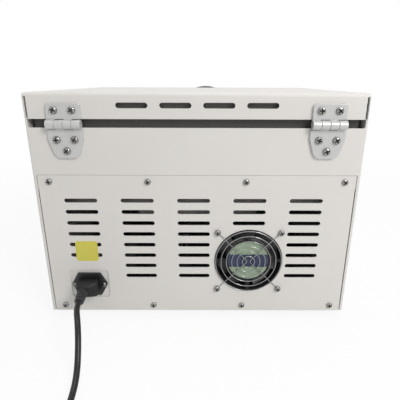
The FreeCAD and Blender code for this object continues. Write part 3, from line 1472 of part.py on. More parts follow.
def lid_shell():
    """Folded lid with vent slots, corner seams and screw holes in its rear skirt."""
    body = new_body("lid_shell")
    outline = sketch_on(body, "z", LID_BOTTOM, "outline")
    rectangle(outline, -HALF, FRONT, HALF, REAR)
    block = pad(body, outline, s.lid_height, 1)
    folded = round_edges(body, block, s.lid_bend,
                         lambda edge: is_straight(edge, "x") and is_near(edge.BoundBox.ZMin, LID_TOP))
    round_edges(body, folded, s.corner_bend,
                lambda edge: edge.BoundBox.XLength < 1e-3 and not is_near(edge.BoundBox.ZMax, LID_BOTTOM))
    hollow = sketch_on(body, "z", LID_BOTTOM, "hollow")
    rectangle(hollow, -INNER, FRONT + SHEET, INNER, REAR - SHEET)
    hollowed = pocket(body, hollow, s.lid_height - SHEET, 1)
    round_edges(body, hollowed, s.lid_bend - SHEET,
                lambda edge: is_straight(edge, "x") and is_near(edge.BoundBox.ZMin, LID_TOP - SHEET))
    rear = sketch_on(body, "y", REAR, "rear")
    for k in (-1.5, -0.5, 0.5, 1.5):
        slot(rear, s.lid_slot_pitch * k - s.lid_slot_shift, LID_TOP - s.lid_slot_drop,
             s.lid_slot_length, s.lid_slot_height)
    for x, z in LID_LEAF_SCREWS:
        disc(rear, x, z, s.hinge_screw / 2)
    pocket(body, rear, SHEET, -1)
    seams = sketch_on(body, "y", REAR, "seams")
    seam_top = LID_TOP - s.lid_bend
    skirt_edge = INNER - s.lid_seam
    rectangle(seams, skirt_edge, LID_BOTTOM - SHEET, INNER, seam_top)
    rectangle(seams, -INNER, LID_BOTTOM - SHEET, -skirt_edge, seam_top)
    seamed = pocket(body, seams, SHEET, -1)
    round_edges(body, seamed, s.skirt_corner,
                lambda edge: is_straight(edge, "y") and is_near(edge.BoundBox.ZMax, LID_BOTTOM)
                and is_near(abs(edge.BoundBox.XMax), skirt_edge) and is_near(edge.Length, SHEET))
    front = sketch_on(body, "y", FRONT, "front")
    for x, z in HANDLE_SCREWS:
        disc(front, x, z, s.small_screw / 2)
    pocket(body, front, SHEET, 1)


def lid_inside():
    """Liner pan with its heater recess, the wool over and round it and the gasket under it."""
    sheet_width = s.liner_sheet
    rim = box("liner_rim", (-INNER, FRONT + SHEET, LINER_BOTTOM),
              (INNER, REAR - SHEET, LINER_BOTTOM + sheet_width))
    dome = box("liner_dome", (-CHAMBER_HALF - sheet_width, CHAMBER_FRONT - sheet_width, LINER_BOTTOM),
               (CHAMBER_HALF + sheet_width, CHAMBER_REAR + sheet_width, RECESS_TOP + sheet_width))
    recess = box("liner_recess", (-CHAMBER_HALF, CHAMBER_FRONT, LINER_BOTTOM),
                 (CHAMBER_HALF, CHAMBER_REAR, RECESS_TOP))
    node(cut("lid_liner", fuse("liner_block", [rim, dome]), [recess]), "lid_liner")
    clear = SHEET + s.lid_wool_clearance
    wool = box("lid_wool", (clear - HALF, FRONT + clear, LINER_BOTTOM + sheet_width),
               (HALF - clear, REAR - clear, LID_TOP - SHEET))
    room = box("lid_wool_room", (-CHAMBER_HALF - sheet_width, CHAMBER_FRONT - sheet_width, LINER_BOTTOM),
               (CHAMBER_HALF + sheet_width, CHAMBER_REAR + sheet_width, RECESS_TOP + sheet_width))
    node(cut("lid_insulation", wool, [room]), "lid_insulation")
    inset, width = s.gasket_inset, s.gasket_width
    low, high = FLANGE_TOP + s.gasket_gap, LINER_BOTTOM
    gasket = shell_box("lid_gasket", (inset - HALF, FRONT + inset, low), (HALF - inset, REAR - inset, high),
                       (inset + width - HALF, FRONT + inset + width, low),
                       (HALF - inset - width, REAR - inset - width, high))
    node(gasket, "lid_gasket")


def lid_handle():
    """Bow handle that rises from the lid's front skirt."""
    middle = s.handle_x
    rod_radius, bow, leg = s.handle_rod / 2, s.handle_bow, s.handle_leg
    root = s.handle_rod
    arch = doc.addObject("Part::Torus", "handle_arch")
    bind(arch, "Radius1", bow)
    bind(arch, "Radius2", rod_radius)
    arch.Angle3 = 180
    arch.Placement = Placement(Vector(), Rotation(Vector(0, 0, 1), 180))
    bind(arch, "Placement.Base.y", -leg)
    legs = [rod(f"handle_leg_{side + 1}", (bow * side, -leg, 0), "y", rod_radius, leg + root)
            for side in (-1, 1)]
    bail = fuse("handle_bail", [arch] + legs)
    bail.Placement = Placement(Vector(), Rotation(Vector(-1, 0, 0), 1))
    bind(bail, "Placement.Rotation.Angle", s.handle_tilt)
    place(bail, (middle, FRONT, HANDLE_Z))
    feet = [rod(f"handle_foot_{k}", (x, FRONT - s.handle_foot_height, z), "y",
                s.handle_foot, s.handle_foot_height) for k, (x, z) in enumerate(HANDLE_SCREWS)]
    reach = bow + root
    behind = box("handle_behind", (middle - reach, FRONT, HANDLE_Z - reach),
                 (middle + reach, FRONT + reach, HANDLE_Z + reach))
    depth = s.handle_screw_depth - SHEET
    bores = [rod(f"handle_bore_{k}", (x, FRONT - depth, z), "y", s.small_screw / 2, depth)
             for k, (x, z) in enumerate(HANDLE_SCREWS)]
    bow_cut = cut("handle_front", fuse("handle_whole", [bail] + feet), [behind])
    node(cut("lid_handle", bow_cut, bores), "lid_handle")


# Hinges

def hinge_leaf(name, hinge_x, on_lid):
    """One hinge leaf: a screwed plate with two of the four knuckles."""
    body = doc.addObject("PartDesign::Body", name)
    side = 1 if on_lid else -1
    edge = HINGE_Z + (s.knuckle_radius + s.leaf_gap) * side
    plate = sketch_on(body, "y", REAR, "plate")
    if on_lid:
        half, top = s.lid_leaf_width / 2, HINGE_Z + s.lid_leaf_top
        outline = [(-half, edge), (half, edge), (half, top), (-half, top)]
        corner, holes = s.lid_leaf_corner, LID_LEAF_SCREWS
    else:
        half, tip = s.body_leaf_width / 2, s.body_leaf_tip / 2
        shoulder, bottom = HINGE_Z - s.body_leaf_shoulder, HINGE_Z - s.body_leaf_bottom
        outline = [(half, edge), (-half, edge), (-half, shoulder), (-tip, bottom), (tip, bottom),
                   (half, shoulder)]
        corner, holes = s.body_leaf_corner, BODY_LEAF_SCREWS
    polygon(plate, [(hinge_x + x, z) for x, z in outline])
    flat = pad(body, plate, s.leaf_sheet, 1)
    round_edges(body, flat, corner,
                lambda line: is_straight(line, "y") and not is_near(line.BoundBox.ZMin, edge))
    pitch, length = s.knuckle_pitch, s.knuckle_pitch - s.knuckle_gap
    first = hinge_x - pitch * (1 if on_lid else 2) + s.knuckle_gap / 2
    knuckle = sketch_on(body, "x", first, "knuckle")
    disc(knuckle, HINGE_Y, HINGE_Z, s.knuckle_radius)
    barrel = pad(body, knuckle, length, 1)
    web = sketch_on(body, "x", first, "web")
    rectangle(web, REAR, HINGE_Z, REAR + s.leaf_sheet, edge + s.leaf_gap * side)
    bridge = pad(body, web, length, 1)
    repeat(body, [barrel, bridge], knuckle, "N_Axis", pitch * 2, 2)
    bore = sketch_on(body, "x", hinge_x - pitch * 2, "bore")
    disc(bore, HINGE_Y, HINGE_Z, s.pin_radius + (s.running_fit if on_lid else as_size(0)))
    pocket(body, bore, pitch * 4, 1)
    drilled = sketch_on(body, "y", REAR, "holes")
    for x, z in holes:
        if abs(x.value - hinge_x.value) < half.value:
            disc(drilled, x, z, s.hinge_screw / 2 + s.screw_clearance)
    body.Tip = pocket(body, drilled, s.leaf_sheet, 1)
    return body


def hinges():
    """Two hinges: leaves on the body and the lid, and the pins between them."""
    for name, on_lid in (("hinge_body_leaves", False), ("hinge_lid_leaves", True)):
        leaves = [hinge_leaf(f"{name}_{k}", x, on_lid) for k, x in enumerate(HINGE_XS)]
        node(group(name, leaves), name)
    reach = s.knuckle_pitch * 2 - s.knuckle_gap / 2
    pins = [rod(f"hinge_pin_{k}", (x - reach, HINGE_Y, HINGE_Z), "x", s.pin_radius, reach * 2)
            for k, x in enumerate(HINGE_XS)]
    node(group("hinge_pins", pins), "hinge_pins")


def fasteners():
    """Every screw of the oven, one group to each place where it is used."""
    panel = screw_profile("panel_screw_profile", s.panel_screw, s.panel_screw_head, s.panel_screw_length)
    small = screw_profile("small_screw_profile", s.small_screw, s.small_screw_head, s.small_screw_length)
    fan = screw_profile("fan_screw_profile", s.fan_screw, s.fan_screw_head, s.small_screw_length)
    hinge = screw_profile("hinge_screw_profile", s.hinge_screw, s.hinge_screw_head, s.hinge_screw_length)
    handle = screw_profile("handle_screw_profile", s.small_screw, s.small_screw_head, s.handle_screw_depth)
    foot = screw_profile("foot_screw_profile", s.panel_screw, s.panel_screw_head,
                         FLOOR - s.foot_seat + s.panel_screw_length)
    screws("rear_panel_screws", panel, [(x, REAR, z) for x in PANEL_SCREW_XS for z in PANEL_SCREW_ZS], "+y")
    screws("front_panel_screws", panel, [(x, FRONT, z) for x, z in FRONT_SCREWS], "-y")
    screws("foot_screws", foot, [(x, y, s.foot_seat) for x, y in FEET], "-z")
    screws("fan_screws", fan, [(x, REAR + s.guard_wire, z) for x, z in FAN_SCREWS], "+y")
    screws("inlet_screws", small, [(x, INLET_FACE, z) for x, z in INLET_SCREWS], "+y")
    leaf_face = REAR + s.leaf_sheet
    screws("hinge_body_screws", hinge, [(x, leaf_face, z) for x, z in BODY_LEAF_SCREWS], "+y")
    screws("hinge_lid_screws", hinge, [(x, leaf_face, z) for x, z in LID_LEAF_SCREWS], "+y")
    screws("handle_screws", handle, [(x, FRONT + SHEET, z) for x, z in HANDLE_SCREWS], "+y")


# Assembly

outer_casing()
base_tray()
rubber_feet()
rear_panel()
fan_frame()
fan_motor()
fan_impeller()
fan_guard()
inlet_plate()
power_inlet()
inlet_pins()
mains_connector()
cord_strain_relief()
mains_cord()
cord_coil()
cord_ties()
wall_plug()
chamber_rails()
heating_chamber()
rack_ledges()
chamber_lagging()
heater_set("lower", LOWER_TUBES, s.lower_tube_margin, CHAMBER_FLOOR + s.tube_height, CHAMBER_FLOOR,
           CHAMBER_FLOOR + s.holder_height)
board_rack()
thermocouple_probe()
control_board()
relay_heat_sink()
power_supply()
terminal_block()
front_panel()
display()
keys()
power_switch()
lid_shell()
lid_inside()
heater_set("upper", UPPER_TUBES, s.upper_tube_margin, LID_BOTTOM + s.upper_tube_rise,
           LID_BOTTOM + s.upper_tube_rise - s.upper_holder_drop, RECESS_TOP)
lid_handle()
hinges()
fasteners()
doc.recompute()

# Checks and export

failed = [obj.Label for obj in doc.Objects if {"Invalid", "Error"} & set(obj.State)]
failed += [obj.Label for obj in NODES if obj.Shape.isNull() or not obj.Shape.isValid()]
if failed:
    raise RuntimeError(f"objects that failed: {failed}")
os.makedirs("parts", exist_ok=True)
for obj in NODES:
    obj.Shape.exportStep(f"parts/{obj.Label}.step")
print(len(NODES), "sub-parts written")
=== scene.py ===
"""Looks, light and camera for a bench reflow oven that stands with its rear to the camera.

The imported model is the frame. Folded sheet and moulded parts are copies of its solids with rounded edges,
and the screws, fan rotor and guard, labels, connector, strain relief and cord are modelled here in full.
"""
from __future__ import annotations

import json
import logging
import math
from dataclasses import dataclass
from enum import Enum

import bmesh
import bpy
from mathutils import Matrix, Vector

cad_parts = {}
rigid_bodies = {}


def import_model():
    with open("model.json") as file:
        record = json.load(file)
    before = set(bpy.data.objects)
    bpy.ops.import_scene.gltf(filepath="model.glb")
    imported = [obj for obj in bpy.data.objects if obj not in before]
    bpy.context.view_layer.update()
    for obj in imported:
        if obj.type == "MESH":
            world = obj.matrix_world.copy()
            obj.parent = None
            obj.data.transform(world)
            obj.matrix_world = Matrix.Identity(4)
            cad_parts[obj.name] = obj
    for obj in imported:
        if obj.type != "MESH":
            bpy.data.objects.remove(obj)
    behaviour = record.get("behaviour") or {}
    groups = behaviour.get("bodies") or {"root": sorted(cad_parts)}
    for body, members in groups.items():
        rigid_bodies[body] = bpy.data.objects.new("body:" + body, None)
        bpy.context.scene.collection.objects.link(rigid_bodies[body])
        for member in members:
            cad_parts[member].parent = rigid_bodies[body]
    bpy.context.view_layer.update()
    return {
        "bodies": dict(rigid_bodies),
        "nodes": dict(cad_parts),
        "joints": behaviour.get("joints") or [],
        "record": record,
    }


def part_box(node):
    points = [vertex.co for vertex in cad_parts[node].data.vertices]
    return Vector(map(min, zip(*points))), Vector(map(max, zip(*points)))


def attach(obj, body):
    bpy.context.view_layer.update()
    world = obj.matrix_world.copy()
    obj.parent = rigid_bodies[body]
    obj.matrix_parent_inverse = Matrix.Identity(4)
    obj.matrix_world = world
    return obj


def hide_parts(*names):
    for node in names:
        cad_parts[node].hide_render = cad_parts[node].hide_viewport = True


LOG = logging.getLogger("reflow_oven")
MM = 0.001
# Neighbouring faces become one below the first of these turns, and have a sharp edge above the second
FLAT_DEG = 1.0
SHARP_DEG = 32.0
# Points nearer than this, in metres, are one point
SAME_POINT = 1e-6


# Finishes

class Pattern(Enum):
    """How a surface is broken up: the texture node, its own inputs and the output that is read."""

    PEEL = ("ShaderNodeTexNoise", {"Detail": 3.0, "Roughness": 0.55}, "Fac")
    BRUSHED = ("ShaderNodeTexNoise", {"Detail": 4.0, "Roughness": 0.6}, "Fac")
    SPANGLE = ("ShaderNodeTexVoronoi", {}, "Color")
    FIBRE = ("ShaderNodeTexNoise", {"Detail": 8.0, "Distortion": 2.5}, "Fac")
    TRACES = ("ShaderNodeTexBrick", {"Mortar Size": 0.03}, "Fac")


# How many times longer than wide a brush mark is
BRUSH_STRETCH = 40.0
# The noise values over which the pattern and the broad clouds rise from none to full
GRAIN_SPAN = {"From Min": 0.3, "From Max": 0.7}
CLOUD_SPAN = {"From Min": 0.35, "From Max": 0.65}


def linear(colour: str) -> tuple[float, float, float, float]:
    """Turn an sRGB hex value into linear light.

    Args:
        colour: The value, such as "#d8d4cf".

    Returns:
        Red, green, blue and an alpha of one.
    """
    channels = [int(colour[i:i + 2], 16) / 255 for i in (1, 3, 5)]
    red, green, blue = (c / 12.92 if c <= 0.04045 else ((c + 0.055) / 1.055) ** 2.4 for c in channels)
    return red, green, blue, 1.0


def add_node(tree: bpy.types.NodeTree, kind: str, settings: dict, inputs: dict) -> bpy.types.Node:
    """Add a node with its settings, and set or link its inputs.

    Args:
        tree: The tree that takes the node.
        kind: The node's type name.
        settings: Properties of the node.
        inputs: Values or other nodes' outputs, by input name or number.

    Returns:
        The new node.
    """
    node = tree.nodes.new(kind)
    for name, value in settings.items():
        setattr(node, name, value)
    for key, value in inputs.items():
        if isinstance(value, bpy.types.NodeSocket):
            tree.links.new(value, node.inputs[key])
        else:
            node.inputs[key].default_value = value
    return node


def empty_tree(owner: bpy.types.Material | bpy.types.World) -> bpy.types.NodeTree:
    """Turn nodes on and clear them.

    Args:
        owner: The material or world that has the nodes.

    Returns:
        Its empty tree.
    """
    owner.use_nodes = True
    owner.node_tree.nodes.clear()
    return owner.node_tree


@dataclass(frozen=True)
class Finish:
    """A real material and how its surface was made.

    The pattern breaks up the colour by its share of the second colour, and gives the bump. A broad,
    slow variation moves the roughness and the tone, as handling and uneven coating do.
    """

    name: str
    colour: str
    second: str
    roughness: float
    share: float = 0.3
    spread: float = 0.06
    tone: float = 0.08
    metallic: float = 0.0
    ior: float = 1.5
    coat: float = 0.0
    transmission: float = 0.0
    pattern: Pattern = Pattern.PEEL
    size_mm: float = 0.8
    bump_mm: float = 0.02
    broad_mm: float = 70.0

    def pattern_scale(self) -> Vector:
        """Work out how often the pattern repeats.

        Returns:
            The repeats in a metre along each axis.
        """
        repeats = 1 / (self.size_mm * MM)
        along = repeats / BRUSH_STRETCH if self.pattern is Pattern.BRUSHED else repeats
        return Vector((along, repeats, repeats))

    def material(self) -> bpy.types.Material:
        """Give the finish's material, made on first use."""
        return bpy.data.materials.get(self.name) or self._make()

    def _make(self) -> bpy.types.Material:
        """Build the node tree.

        Returns:
            The new material.
        """
        made = bpy.data.materials.new(self.name)
        tree = empty_tree(made)
        place = add_node(tree, "ShaderNodeTexCoord", {}, {}).outputs["Object"]
        fine = add_node(tree, "ShaderNodeMapping", {}, {"Vector": place, "Scale": self.pattern_scale()})
        kind, inputs, output = self.pattern.value
        texture = add_node(tree, kind, {}, {"Vector": fine.outputs["Vector"], "Scale": 1.0, **inputs})
        grain = texture.outputs[output]
        broad = add_node(tree, "ShaderNodeTexNoise", {},
                         {"Vector": place, "Scale": 1 / (self.broad_mm * MM), "Detail": 4.0}).outputs["Fac"]
        flecks = add_node(tree, "ShaderNodeMapRange", {},
                          {"Value": grain, "To Max": self.share, **GRAIN_SPAN})
        clouds = add_node(tree, "ShaderNodeMapRange", {},
                          {"Value": broad, "To Max": self.tone, **CLOUD_SPAN})
        flecked = add_node(tree, "ShaderNodeMix", {"data_type": "RGBA"},
                           {0: flecks.outputs["Result"], 6: linear(self.colour), 7: linear(self.second)})
        clouded = add_node(tree, "ShaderNodeMix", {"data_type": "RGBA"},
                           {0: clouds.outputs["Result"], 6: flecked.outputs[2], 7: linear(self.second)})
        rough = add_node(tree, "ShaderNodeMapRange", {},
                         {"Value": broad, "To Min": self.roughness - self.spread,
                          "To Max": self.roughness + self.spread, **GRAIN_SPAN})
        bump = add_node(tree, "ShaderNodeBump", {},
                        {"Distance": self.bump_mm * MM, "Height": grain})
        shader = add_node(tree, "ShaderNodeBsdfPrincipled", {},
                          {"Base Color": clouded.outputs[2], "Roughness": rough.outputs["Result"],
                           "Normal": bump.outputs["Normal"], "Metallic": self.metallic, "IOR": self.ior,
                           "Coat Weight": self.coat, "Transmission Weight": self.transmission})
        add_node(tree, "ShaderNodeOutputMaterial", {}, {"Surface": shader.outputs["BSDF"]})
        return made


# Powder coat: a warm off-white skin with a faint orange peel, satin rather than glossy
POWDER_COAT = Finish("powder_coated_steel", "#d9d6d2", "#cac6c1", 0.5, share=0.12, tone=0.14, size_mm=1.1,
                     bump_mm=0.012)
# Galvanised sheet: pale zinc crystals a few millimetres across
GALVANISED = Finish("galvanised_steel", "#aeb1b3", "#8f9396", 0.42, share=0.6, metallic=1.0,
                    pattern=Pattern.SPANGLE, size_mm=6.0, bump_mm=0.01)
# Nickel-plated screws: neutral grey, with soft tool marks
NICKEL = Finish("nickel_plated_steel", "#a09f9c", "#5a5a58", 0.2, share=0.35, metallic=1.0, bump_mm=0.01,
                broad_mm=4.0)
# Screw recess: painted shade, a dark grey that stands in for the shade inside the cross
PAINTED_SHADE_RECESS = Finish("painted_shade_screw_recess", "#3d3c3a", "#2a2928", 0.7, share=0.4, ior=1.35, size_mm=0.5,
                broad_mm=3.0)
# Chromed wire: almost a mirror
CHROME_WIRE = Finish("chromed_wire", "#9c9d9b", "#7b7d7c", 0.18, share=0.15, metallic=1.0, size_mm=2.0,
                     bump_mm=0.005, broad_mm=12.0)
# Die-cast hinge alloy under silver lacquer: cool grey with a fine sparkle
HINGE_LACQUER = Finish("silver_lacquered_zinc", "#c7c7c6", "#b0b0af", 0.42, tone=0.2, metallic=0.35,
                       size_mm=0.7, bump_mm=0.015, broad_mm=18.0)
# Glass-filled fan plastic: black and matt. The rotor is black plastic painted mid-grey: painted light that
# stands in for the light falling on it behind the guard
FAN_PLASTIC = Finish("glass_filled_pbt", "#171618", "#2a292b", 0.56, ior=1.38)
PAINTED_LIGHT_ROTOR = Finish("painted_light_rotor_pbt", "#7a787a", "#8b898a", 0.8, share=0.4, size_mm=1.5, bump_mm=0.03)
# Moulded nylon of the inlet: black with a low gloss
INLET_NYLON = Finish("moulded_nylon", "#121214", "#1d1d1f", 0.42, share=0.25, size_mm=0.7, bump_mm=0.012)
# Soft PVC of the connector and plug: near black and satin
CONNECTOR_PVC = Finish("moulded_pvc", "#111113", "#1e1e20", 0.5, ior=1.4)
# Strain relief: the same PVC painted paler than the connector, as a painted sheen that makes its rib tops
# read lighter than the grooves
PAINTED_SHEEN_PVC = Finish("painted_sheen_pvc", "#2b2a2d", "#3a393c", 0.45, share=0.35)
# Cord jacket: soft PVC, drawn smooth
CORD_PVC = Finish("pvc_cord_jacket", "#161618", "#242426", 0.34, ior=1.4, size_mm=1.2, bump_mm=0.006)
# Foot and gasket rubber: dull, a little dusty
RUBBER = Finish("nitrile_rubber", "#1f1f1f", "#3c3a38", 0.8, size_mm=0.9, bump_mm=0.03)
SILICONE = Finish("silicone_gasket", "#474545", "#5b5857", 0.7, share=0.4, size_mm=1.5, bump_mm=0.03)
# Bright chamber steel: brushed along its length and a little straw-coloured from the heat
CHAMBER_STEEL = Finish("brushed_stainless_steel", "#c4c1b9", "#9c9488", 0.3, share=0.5, metallic=1.0,
                       pattern=Pattern.BRUSHED, bump_mm=0.01)
# Holders and probe: sheet and tube as they left the mill, greyer than the chamber
HOLDER_STEEL = Finish("mill_finish_steel", "#a9a8a5", "#86847f", 0.4, share=0.4, metallic=1.0,
                      pattern=Pattern.BRUSHED, size_mm=1.0, bump_mm=0.01)
# Aluminised jacket sheet behind the vents: dull, warm grey
ALUMINISED = Finish("aluminised_steel", "#a8a5a1", "#94918d", 0.6, metallic=0.3, size_mm=1.2)
# Mineral wool: grey, matt and fibrous
MINERAL_WOOL = Finish("mineral_wool", "#7c7a78", "#5f5d5b", 0.95, share=0.7, pattern=Pattern.FIBRE,
                      size_mm=3.0, bump_mm=0.6)
# Quartz tube: frosted, so the coil inside shows only as a warm tint
QUARTZ = Finish("frosted_quartz", "#f1ece2", "#d9c9ae", 0.28, transmission=0.6, ior=1.46,
                pattern=Pattern.BRUSHED, size_mm=1.5, bump_mm=0.01)
# Circuit board: green solder mask over tracks
SOLDER_MASK = Finish("green_solder_mask", "#1d5a34", "#2f7d49", 0.35, share=0.8, pattern=Pattern.TRACES,
                     size_mm=6.0, bump_mm=0.03, coat=0.4)
# Heat sink: bare aluminium with fine lines from the die
EXTRUSION = Finish("extruded_aluminium", "#bfc1c4", "#a2a5a8", 0.34, share=0.4, metallic=1.0,
                   pattern=Pattern.BRUSHED, size_mm=0.7, bump_mm=0.01)
# Motor core: stacked iron sheets, brown under their varnish
STATOR_IRON = Finish("laminated_iron", "#6b5a4d", "#4a3d34", 0.5, share=0.6, metallic=0.8,
                     pattern=Pattern.BRUSHED, size_mm=0.5, bump_mm=0.03)
# Contact blades: plated brass, a warm pale yellow
BRASS = Finish("plated_brass", "#cdb777", "#a58f55", 0.28, metallic=1.0, bump_mm=0.008)
# Relays, terminals and ties: dark moulded resin, satin and a little brown
PHENOLIC = Finish("black_phenolic", "#2c2a29", "#3d3937", 0.5, share=0.35, size_mm=1.0)
# Handle: moulded ABS with a spark-eroded grain
HANDLE_ABS = Finish("grained_abs", "#4a4a4c", "#5d5d60", 0.5, size_mm=0.9, bump_mm=0.03)
# Keys: silicone rubber, tinted right through and matt, with marks in off-white ink
KEY_GREY = Finish("grey_silicone_key", "#8a8c90", "#777a7e", 0.55, share=0.2)
KEY_GREEN = Finish("green_silicone_key", "#3f9a58", "#34864b", 0.55, share=0.2)
KEY_RED = Finish("red_silicone_key", "#c2433a", "#a93a32", 0.55, share=0.2)
KEY_MARK = Finish("white_key_print", "#ecebe6", "#d6d4cd", 0.5, share=0.2, size_mm=0.6, bump_mm=0.005)
# Display window: tinted acrylic, glossy and nearly black
ACRYLIC = Finish("smoked_acrylic", "#0d1113", "#14191c", 0.1, share=0.2, spread=0.02, ior=1.42, size_mm=3.0,
                 bump_mm=0.002)
# Printed polyester labels: satin film with a faint print mottle
LABEL_GREEN = Finish("green_label_film", "#a0b29a", "#83967c", 0.4, share=0.5, size_mm=4.0, bump_mm=0.004,
                     broad_mm=9.0, tone=0.3)
LABEL_NAVY = Finish("navy_label_print", "#2e3b59", "#232f48", 0.4, share=0.4, size_mm=3.0, bump_mm=0.004,
                    broad_mm=9.0)
LABEL_YELLOW = Finish("yellow_label_film", "#cfc753", "#bcb345", 0.42, size_mm=3.0, bump_mm=0.004,
                      broad_mm=25.0)


# Shared mesh work

def soften(work: bmesh.types.BMesh, limit_deg: float = SHARP_DEG) -> None:
    """Shade a mesh smooth, with sharp edges where faces turn by more than a limit.

    Args:
        work: The mesh.
        limit_deg: The turn in degrees that is left sharp.
    """
    for face in work.faces:
        face.smooth = True
    for edge in work.edges:
        edge.smooth = edge.calc_face_angle(0.0) < math.radians(limit_deg)


def link_object(name: str, data: bpy.types.ID) -> bpy.types.Object:
    """Put a mesh, curve, lamp or camera into the scene as an object at the origin.

    Args:
        name: The object's name.
        data: What the object shows.

    Returns:
        The new object.
    """
    made = bpy.data.objects.new(name, data)
    bpy.context.scene.collection.objects.link(made)
    return made


def to_object(work: bmesh.types.BMesh, name: str, *finishes: Finish) -> bpy.types.Object:
    """Turn a finished mesh into an object at the origin.

    Args:
        work: The mesh, which is freed.
        name: The object's name.
        finishes: The finishes, in the order of the faces' material numbers.

    Returns:
        The new object.
    """
    mesh = bpy.data.meshes.new(name)
    work.to_mesh(mesh)
    work.free()
    for finish in finishes:
        mesh.materials.append(finish.material())
    return link_object(name, mesh)


def seat(piece: bpy.types.Object, body: str, slot: str, *nodes: str) -> None:
    """Let a piece ride on a body and stand for nodes.

    Args:
        piece: The piece.
        body: The body that it moves with.
        slot: The record's material slot, which is not used.
        nodes: The nodes that it replaces, if any.
    """
    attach(piece, body)
    if nodes:
        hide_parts(*nodes)
    LOG.info("%s rides on %s", piece.name, body)


def spot_at(node: str, depth: float) -> Vector:
    """Find the middle of a node in X and Z, at a given depth in Y."""
    low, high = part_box(node)
    return Vector(((low.x + high.x) / 2, depth, (low.z + high.z) / 2))


def facing(spot: Vector, heading: int = 1) -> Matrix:
    """Turn what is made along +Z to the rear, or with a heading of -1 to the front, and move it to a spot."""
    return Matrix.Translation(spot) @ Matrix.Rotation(math.radians(-90 * heading), 4, "X")


def profile_spin(work: bmesh.types.BMesh, profile: list[tuple[float, float]], steps: int) -> None:
    """Turn a profile of radius and height all the way round Z.

    Args:
        work: The empty mesh that takes the turned shape.
        profile: Radii and heights, from one pole to the other.
        steps: Faces around.
    """
    points = [work.verts.new((radius, 0.0, height)) for radius, height in profile]
    lines = [work.edges.new(pair) for pair in zip(points, points[1:])]
    bmesh.ops.spin(work, geom=points + lines, cent=(0, 0, 0), axis=(0, 0, 1), angle=2 * math.pi, steps=steps,
                   use_merge=True)
    bmesh.ops.remove_doubles(work, verts=work.verts, dist=SAME_POINT)
    bmesh.ops.recalc_face_normals(work, faces=work.faces)


def islands(work: bmesh.types.BMesh) -> list[list[bmesh.types.BMVert]]:
    """Split a mesh's points into the groups that edges join.

    Args:
        work: The mesh.

    Returns:
        One list of points for each separate solid.
    """
    found, seen = [], set()
    for start in work.verts:
        if start in seen:
            continue
        group, waiting = [], [start]
        seen.add(start)
        while waiting:
            point = waiting.pop()
            group.append(point)
            fresh = [edge.other_vert(point) for edge in point.link_edges]
            fresh = [other for other in fresh if other not in seen]
            seen.update(fresh)
            waiting += fresh
        found.append(group)
    return found


def mesh_copy(node: bpy.types.Object) -> bmesh.types.BMesh:
    """Copy a node's mesh and join its triangles at their shared points.

    Args:
        node: The node's object.

    Returns:
        The copy.
    """
    work = bmesh.new()
    work.from_mesh(node.data)
    bmesh.ops.remove_doubles(work, verts=work.verts, dist=SAME_POINT)
    return work


def merge_flat(work: bmesh.types.BMesh) -> None:
    """Merge flat neighbours into one face each, and split what bends back on itself."""
    bmesh.ops.dissolve_limit(work, angle_limit=math.radians(FLAT_DEG), verts=work.verts, edges=work.edges)
    bmesh.ops.connect_verts_concave(work, faces=work.faces)


def extent(points: list[bmesh.types.BMVert]) -> tuple[Vector, Vector]:
    """Find the box round a group of points.

    Args:
        points: The points.

    Returns:
        The lowest and the highest corner.
    """
    low = Vector([min(point.co[i] for point in points) for i in range(3)])
    high = Vector([max(point.co[i] for point in points) for i in range(3)])
    return low, high


def thicken(work: bmesh.types.BMesh, film: float) -> None:
    """Give a flat film at Z = 0 its thickness, towards +Z.

    Args:
        work: The mesh, which holds the film alone.
        film: The thickness.
    """
    top = bmesh.ops.extrude_face_region(work, geom=work.faces[:], use_keep_orig=True)["geom"]
    lifted = [item for item in top if isinstance(item, bmesh.types.BMVert)]
    bmesh.ops.translate(work, verts=lifted, vec=(0, 0, film))
    bmesh.ops.recalc_face_normals(work, faces=work.faces)


def close_holes(work: bmesh.types.BMesh, screws: bpy.types.Object) -> None:
    """Close the holes under screw heads, so that a bevel runs round the outline alone.

    Args:
        work: The mesh with the holes, which run along Y.
        screws: The node whose solids are the screws.
    """
    source = mesh_copy(screws)
    for points in islands(source):
        low, high = extent(points)
        middle, reach = (low + high) / 2, (high.x - low.x) / 2
        walls = [face for face in work.faces
                 if all(math.hypot(v.co.x - middle.x, v.co.z - middle.z) < reach for v in face.verts)]
        bmesh.ops.delete(work, geom=walls, context="FACES")
    source.free()
    bmesh.ops.holes_fill(work, edges=[edge for edge in work.edges if edge.is_boundary], sides=0)
    bmesh.ops.recalc_face_normals(work, faces=work.faces)


def wire_curve(name: str, radius: float, finish: Finish, section_steps: int,
               line_steps: int) -> bpy.types.Curve:
    """Start a curve that is drawn as round wire.

    Args:
        name: The curve's name.
        radius: Radius of the wire.
        finish: The wire's finish.
        section_steps: Steps that round the wire's section.
        line_steps: Steps from one point of its line to the next.

    Returns:
        The curve, with no line in it yet.
    """
    curve = bpy.data.curves.new(name, "CURVE")
    curve.dimensions = "3D"
    curve.bevel_depth = radius
    curve.bevel_resolution = section_steps
    curve.resolution_u = line_steps
    curve.materials.append(finish.material())
    return curve


def smooth_line(curve: bpy.types.Curve, spots: list[Vector]) -> None:
    """Add an open line to a curve, drawn smoothly between its control points.

    Args:
        curve: The curve that takes the line.
        spots: The control points.
    """
    spline = curve.splines.new("NURBS")
    spline.points.add(len(spots) - 1)
    for control, spot in zip(spline.points, spots):
        control.co = spot.to_4d()
    spline.order_u = 3
    spline.use_endpoint_u = True


# Sheet and moulded parts

